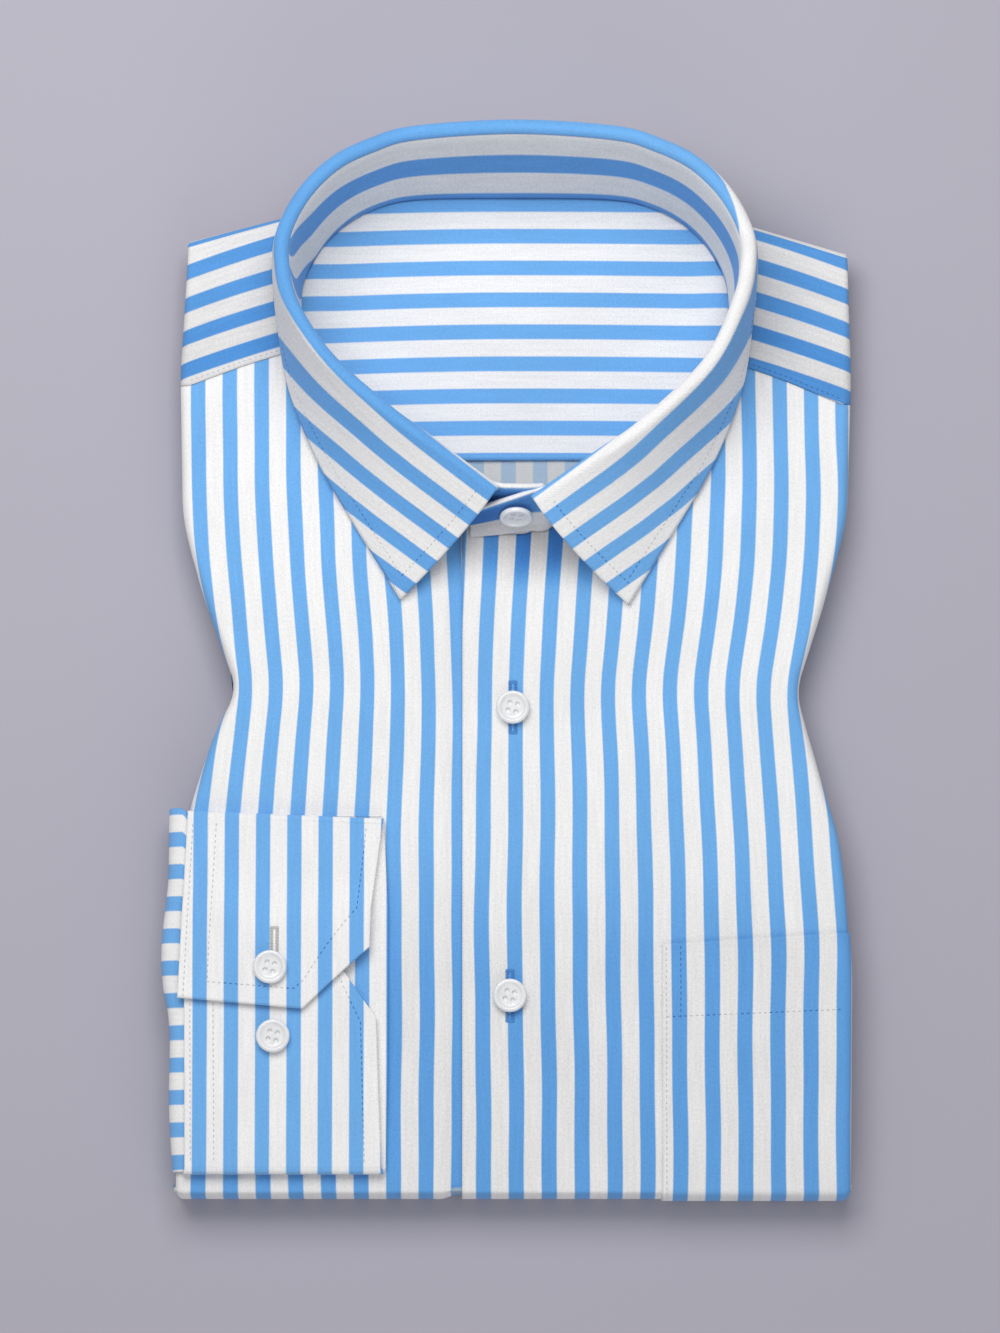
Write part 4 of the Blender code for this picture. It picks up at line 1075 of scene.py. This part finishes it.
class Sewing:
    def __init__(self, name):
        self.name, self.bm, self.cloths = name, bmesh.new(), []

    def stitch(self, point, along, normal, size, cloth):
        along, normal = Vector(along).normalized(), Vector(normal).normalized()
        axes = along, normal.cross(along).normalized(), normal
        columns = [axis * length / 2 * mm for axis, length in zip(axes, size)]
        columns.append(Vector(toPart(np.array(point))))
        turn = Matrix([[c[i] for c in columns] for i in range(3)] + [[0, 0, 0, 1]])
        bmesh.ops.create_uvsphere(self.bm, u_segments=8, v_segments=5, radius=1.0, matrix=turn)
        self.cloths.append(cloth)

    def finish(self, finish):
        mesh = bpy.data.meshes.new(self.name)
        self.bm.to_mesh(mesh)
        self.bm.free()
        corners = len(mesh.loops) // len(self.cloths)
        markCloth(mesh, np.repeat(np.array(self.cloths), corners, axis=0), 1.0)
        addPiece(self.name, mesh, (finish,))


# the path that lies this far inside one edge of a cloth, as (u, v) pairs
def insetPath(shape, edge, distance, span=(0.0, 1.0), reach=0.35):
    steps, depth = 260, 70
    a = np.repeat(np.linspace(*span, steps), depth).reshape(steps, depth)
    b = np.tile(np.linspace(0.0, reach, depth), steps).reshape(steps, depth)
    inward = b if edge[1] == "0" else 1.0 - b
    u, v = (inward, a) if edge[0] == "u" else (a, inward)
    points, _ = shape(u.ravel(), v.ravel())
    points = points.reshape(steps, depth, 3)
    lengths = np.linalg.norm(np.diff(points, axis=1), axis=-1).cumsum(1)
    run = np.concatenate([np.zeros((steps, 1)), lengths], axis=1)
    found = np.array([np.interp(distance, run[i], inward[i]) for i in range(steps)])
    return (found, a[:, 0]) if edge[0] == "u" else (a[:, 0], found)


def sewAlong(sewn, shape, u, v, lift=0.0):
    points, _ = shape(u, v)
    run = np.concatenate([[0.0], np.linalg.norm(np.diff(points, axis=0), axis=-1).cumsum()])
    at = np.arange(sewing["pitch"] / 2, run[-1], sewing["pitch"])
    u, v = np.interp(at, run, u), np.interp(at, run, v)
    places, cloths = shape(u, v)
    ahead, back = (np.stack([np.interp(at + d, run, points[:, i]) for i in range(3)], -1) for d in (0.4, -0.4))
    along = ahead - back
    step = 0.004
    across = shape(np.clip(u + step, 0, 1), v)[0] - shape(np.clip(u - step, 0, 1), v)[0]
    down = shape(u, np.clip(v + step, 0, 1))[0] - shape(u, np.clip(v - step, 0, 1))[0]
    normal = unit(np.cross(across, down))
    normal = normal * np.where(normal[:, 2:] < 0, -1.0, 1.0)
    size = (sewing["length"], sewing["width"], sewing["height"])
    for i in range(len(at)):
        sewn.stitch(places[i] + normal[i] * lift, along[i], normal[i], size, cloths[i])


# a buttonhole along y: two rows of satin stitches beside the slit, and a bar at each end
def sewHole(sewn, x, y, height, length, cloth):
    satin, bar = (1.4, 0.46, 0.5), (sewing["holeWidth"], 0.42, 0.5)
    for side in (-1, 1):
        for i in range(int(length / 0.5)):
            along = y - length / 2 + (i + 0.5) * 0.5
            place = (x + side * 0.95, along, height(x, along))
            sewn.stitch(place, (1, 0.12 * side, 0), (0, 0, 1), satin, cloth)
    for end in (-1, 1):
        for i in range(3):
            along = y + end * (length / 2 + 0.25 - i * 0.3)
            sewn.stitch((x, along, height(x, along)), (1, 0, 0), (0, 0, 1), bar, cloth)


collarSewing = Sewing("collar_leaf_stitching")
half = collar["leafWall"] / 2
for edge in ("u0", "u1"):
    path = insetPath(leafShape, edge, 5.3, (0.34, 0.95), 0.1)
    sewAlong(collarSewing, leafShape, *path, half)
for span in ((0.012, 0.36), (0.64, 0.988)):
    path = insetPath(leafShape, "v1", 5.3, span, 0.3)
    sewAlong(collarSewing, leafShape, *path, half)
collarSewing.finish(threadFinish)

yokeSewing = Sewing("yoke_stitching")
for side in (1, -1):
    shape = shoulderShape(side)
    path = insetPath(shape, "v1", 1.6, (0.02, 0.8) if side > 0 else (0.2, 0.98), 0.2)
    sewAlong(yokeSewing, shape, *path)
yokeSewing.finish(threadFinish)

pocketSewing = Sewing("pocket_stitching")


# a straight row between two places, given as share across and mm below the pocket's mouth
def sewPocket(start, end):
    depth = pocket["topLeft"] - bottomCentre
    share = np.linspace(0.0, 1.0, 60)
    q, down = mix(start[0], end[0], share), mix(start[1], end[1], share)
    sewAlong(pocketSewing, pocketShape, q * pocket["flatAcross"], down / depth * pocket["flatDown"])


sewPocket((0.02, pocket["hem"]), (0.995, pocket["hem"]))
sewPocket((0.025, 0.8), (0.025, 84.0))
sewPocket((0.105, 0.8), (0.105, pocket["hem"]))
pocketSewing.finish(threadFinish)

cuffSewing = Sewing("cuff_stitching")
half = cuff["wall"] / 2


def sewCuff(rows):
    u = np.concatenate([np.linspace(a[0], b[0], 60) for a, b in zip(rows, rows[1:])])
    v = np.concatenate([np.linspace(a[1], b[1], 60) for a, b in zip(rows, rows[1:])])
    sewAlong(cuffSewing, cuffShape, u, v, half)


sewCuff(((0.03, 0.0), (0.03, 0.215)))
sewCuff(((0.15, 0.215), (0.15, 0.022), (0.60, 0.022), (0.92, 0.085), (0.92, 0.215)))
sewCuff(((0.03, 0.63), (0.03, 0.97)))
sewCuff(((0.15, 0.63), (0.15, 0.97)))
sewCuff(((0.915, 0.63), (0.915, 0.94), (0.74, 1.0)))
cuffSewing.finish(threadFinish)

frontSewing = Sewing("front_buttonholes")
blueCloth, whiteCloth = (2.5, 0.0), (7.8, 0.0)
for name, x, y, _, _ in buttons["places"][1:3]:
    sewHole(frontSewing, x, y, lambda x, y: float(topHeight(x, y)) + 0.05, sewing["holeLength"], blueCloth)
frontSewing.finish(holeThread)
cuffHoleSewing = Sewing("cuff_buttonhole")
sewHole(cuffHoleSewing, -80.0, -98.6, lambda x, y: cuff["zOver"] + half + 0.3, 16.0, whiteCloth)
cuffHoleSewing.finish(holeThread)

for name, piece in pieces.items():
    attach(piece, "root")
    if name.endswith("_cloth"):
        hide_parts(name.removesuffix("_cloth"))

print("floor, light and camera")
studio = {
    "floor": (0.443, 0.427, 0.492, 1.0),
    "world": 0.37,
    "keyPower": 6.7,
    "fillPower": 4.4,
    "distance": 2200.0,
    "tilt": 6.5,
    "viewHeight": 446.555,  # how much is seen, from bottom to top
    "sensor": 36.0,
    "aim": (-5.0, -2.5, 17.5),
}
floorMesh, _, _ = gridMesh("floor", 2, 2, size=4.0)
floorFinish, _, _ = newMaterial("studio floor", {"Base Color": studio["floor"], "Roughness": 0.9})
floorMesh.materials.append(floorFinish)
addObject("floor", floorMesh)

world = bpy.data.worlds.new("studio")
world.use_nodes = True
sky = world.node_tree.nodes["Background"]
sky.inputs["Color"].default_value = (0.97, 0.98, 1.0, 1.0)
sky.inputs["Strength"].default_value = studio["world"]
bpy.context.scene.world = world


def addLight(name, place, aim, size, power):
    lamp = bpy.data.lights.new(name, "AREA")
    lamp.shape = "RECTANGLE"
    lamp.size, lamp.size_y = size
    lamp.energy = power
    made = addObject(name, lamp)
    made.location = place
    made.rotation_euler = (Vector(aim) - Vector(place)).to_track_quat("-Z", "Y").to_euler()


addLight("overhead softbox", (-0.14, 0.42, 0.85), (-0.03, 0.05, 0.0), (0.8, 0.6), studio["keyPower"])
addLight("low fill", (0.30, -1.30, 0.75), (0.0, 0.0, 0.0), (1.2, 0.8), studio["fillPower"])

tilt = math.radians(studio["tilt"])
aim = Vector(toPart(np.array(studio["aim"])))
camera = addObject("camera", bpy.data.cameras.new("camera"))
camera.data.sensor_width = studio["sensor"]
camera.data.lens = studio["sensor"] * studio["distance"] / studio["viewHeight"]
camera.location = aim + Vector((0.0, -math.sin(tilt), math.cos(tilt))) * studio["distance"] * mm
camera.rotation_euler = (tilt, 0.0, 0.0)
camera.data.clip_end = 20.0
bpy.context.scene.camera = camera
bpy.context.scene.view_settings.view_transform = "Standard"
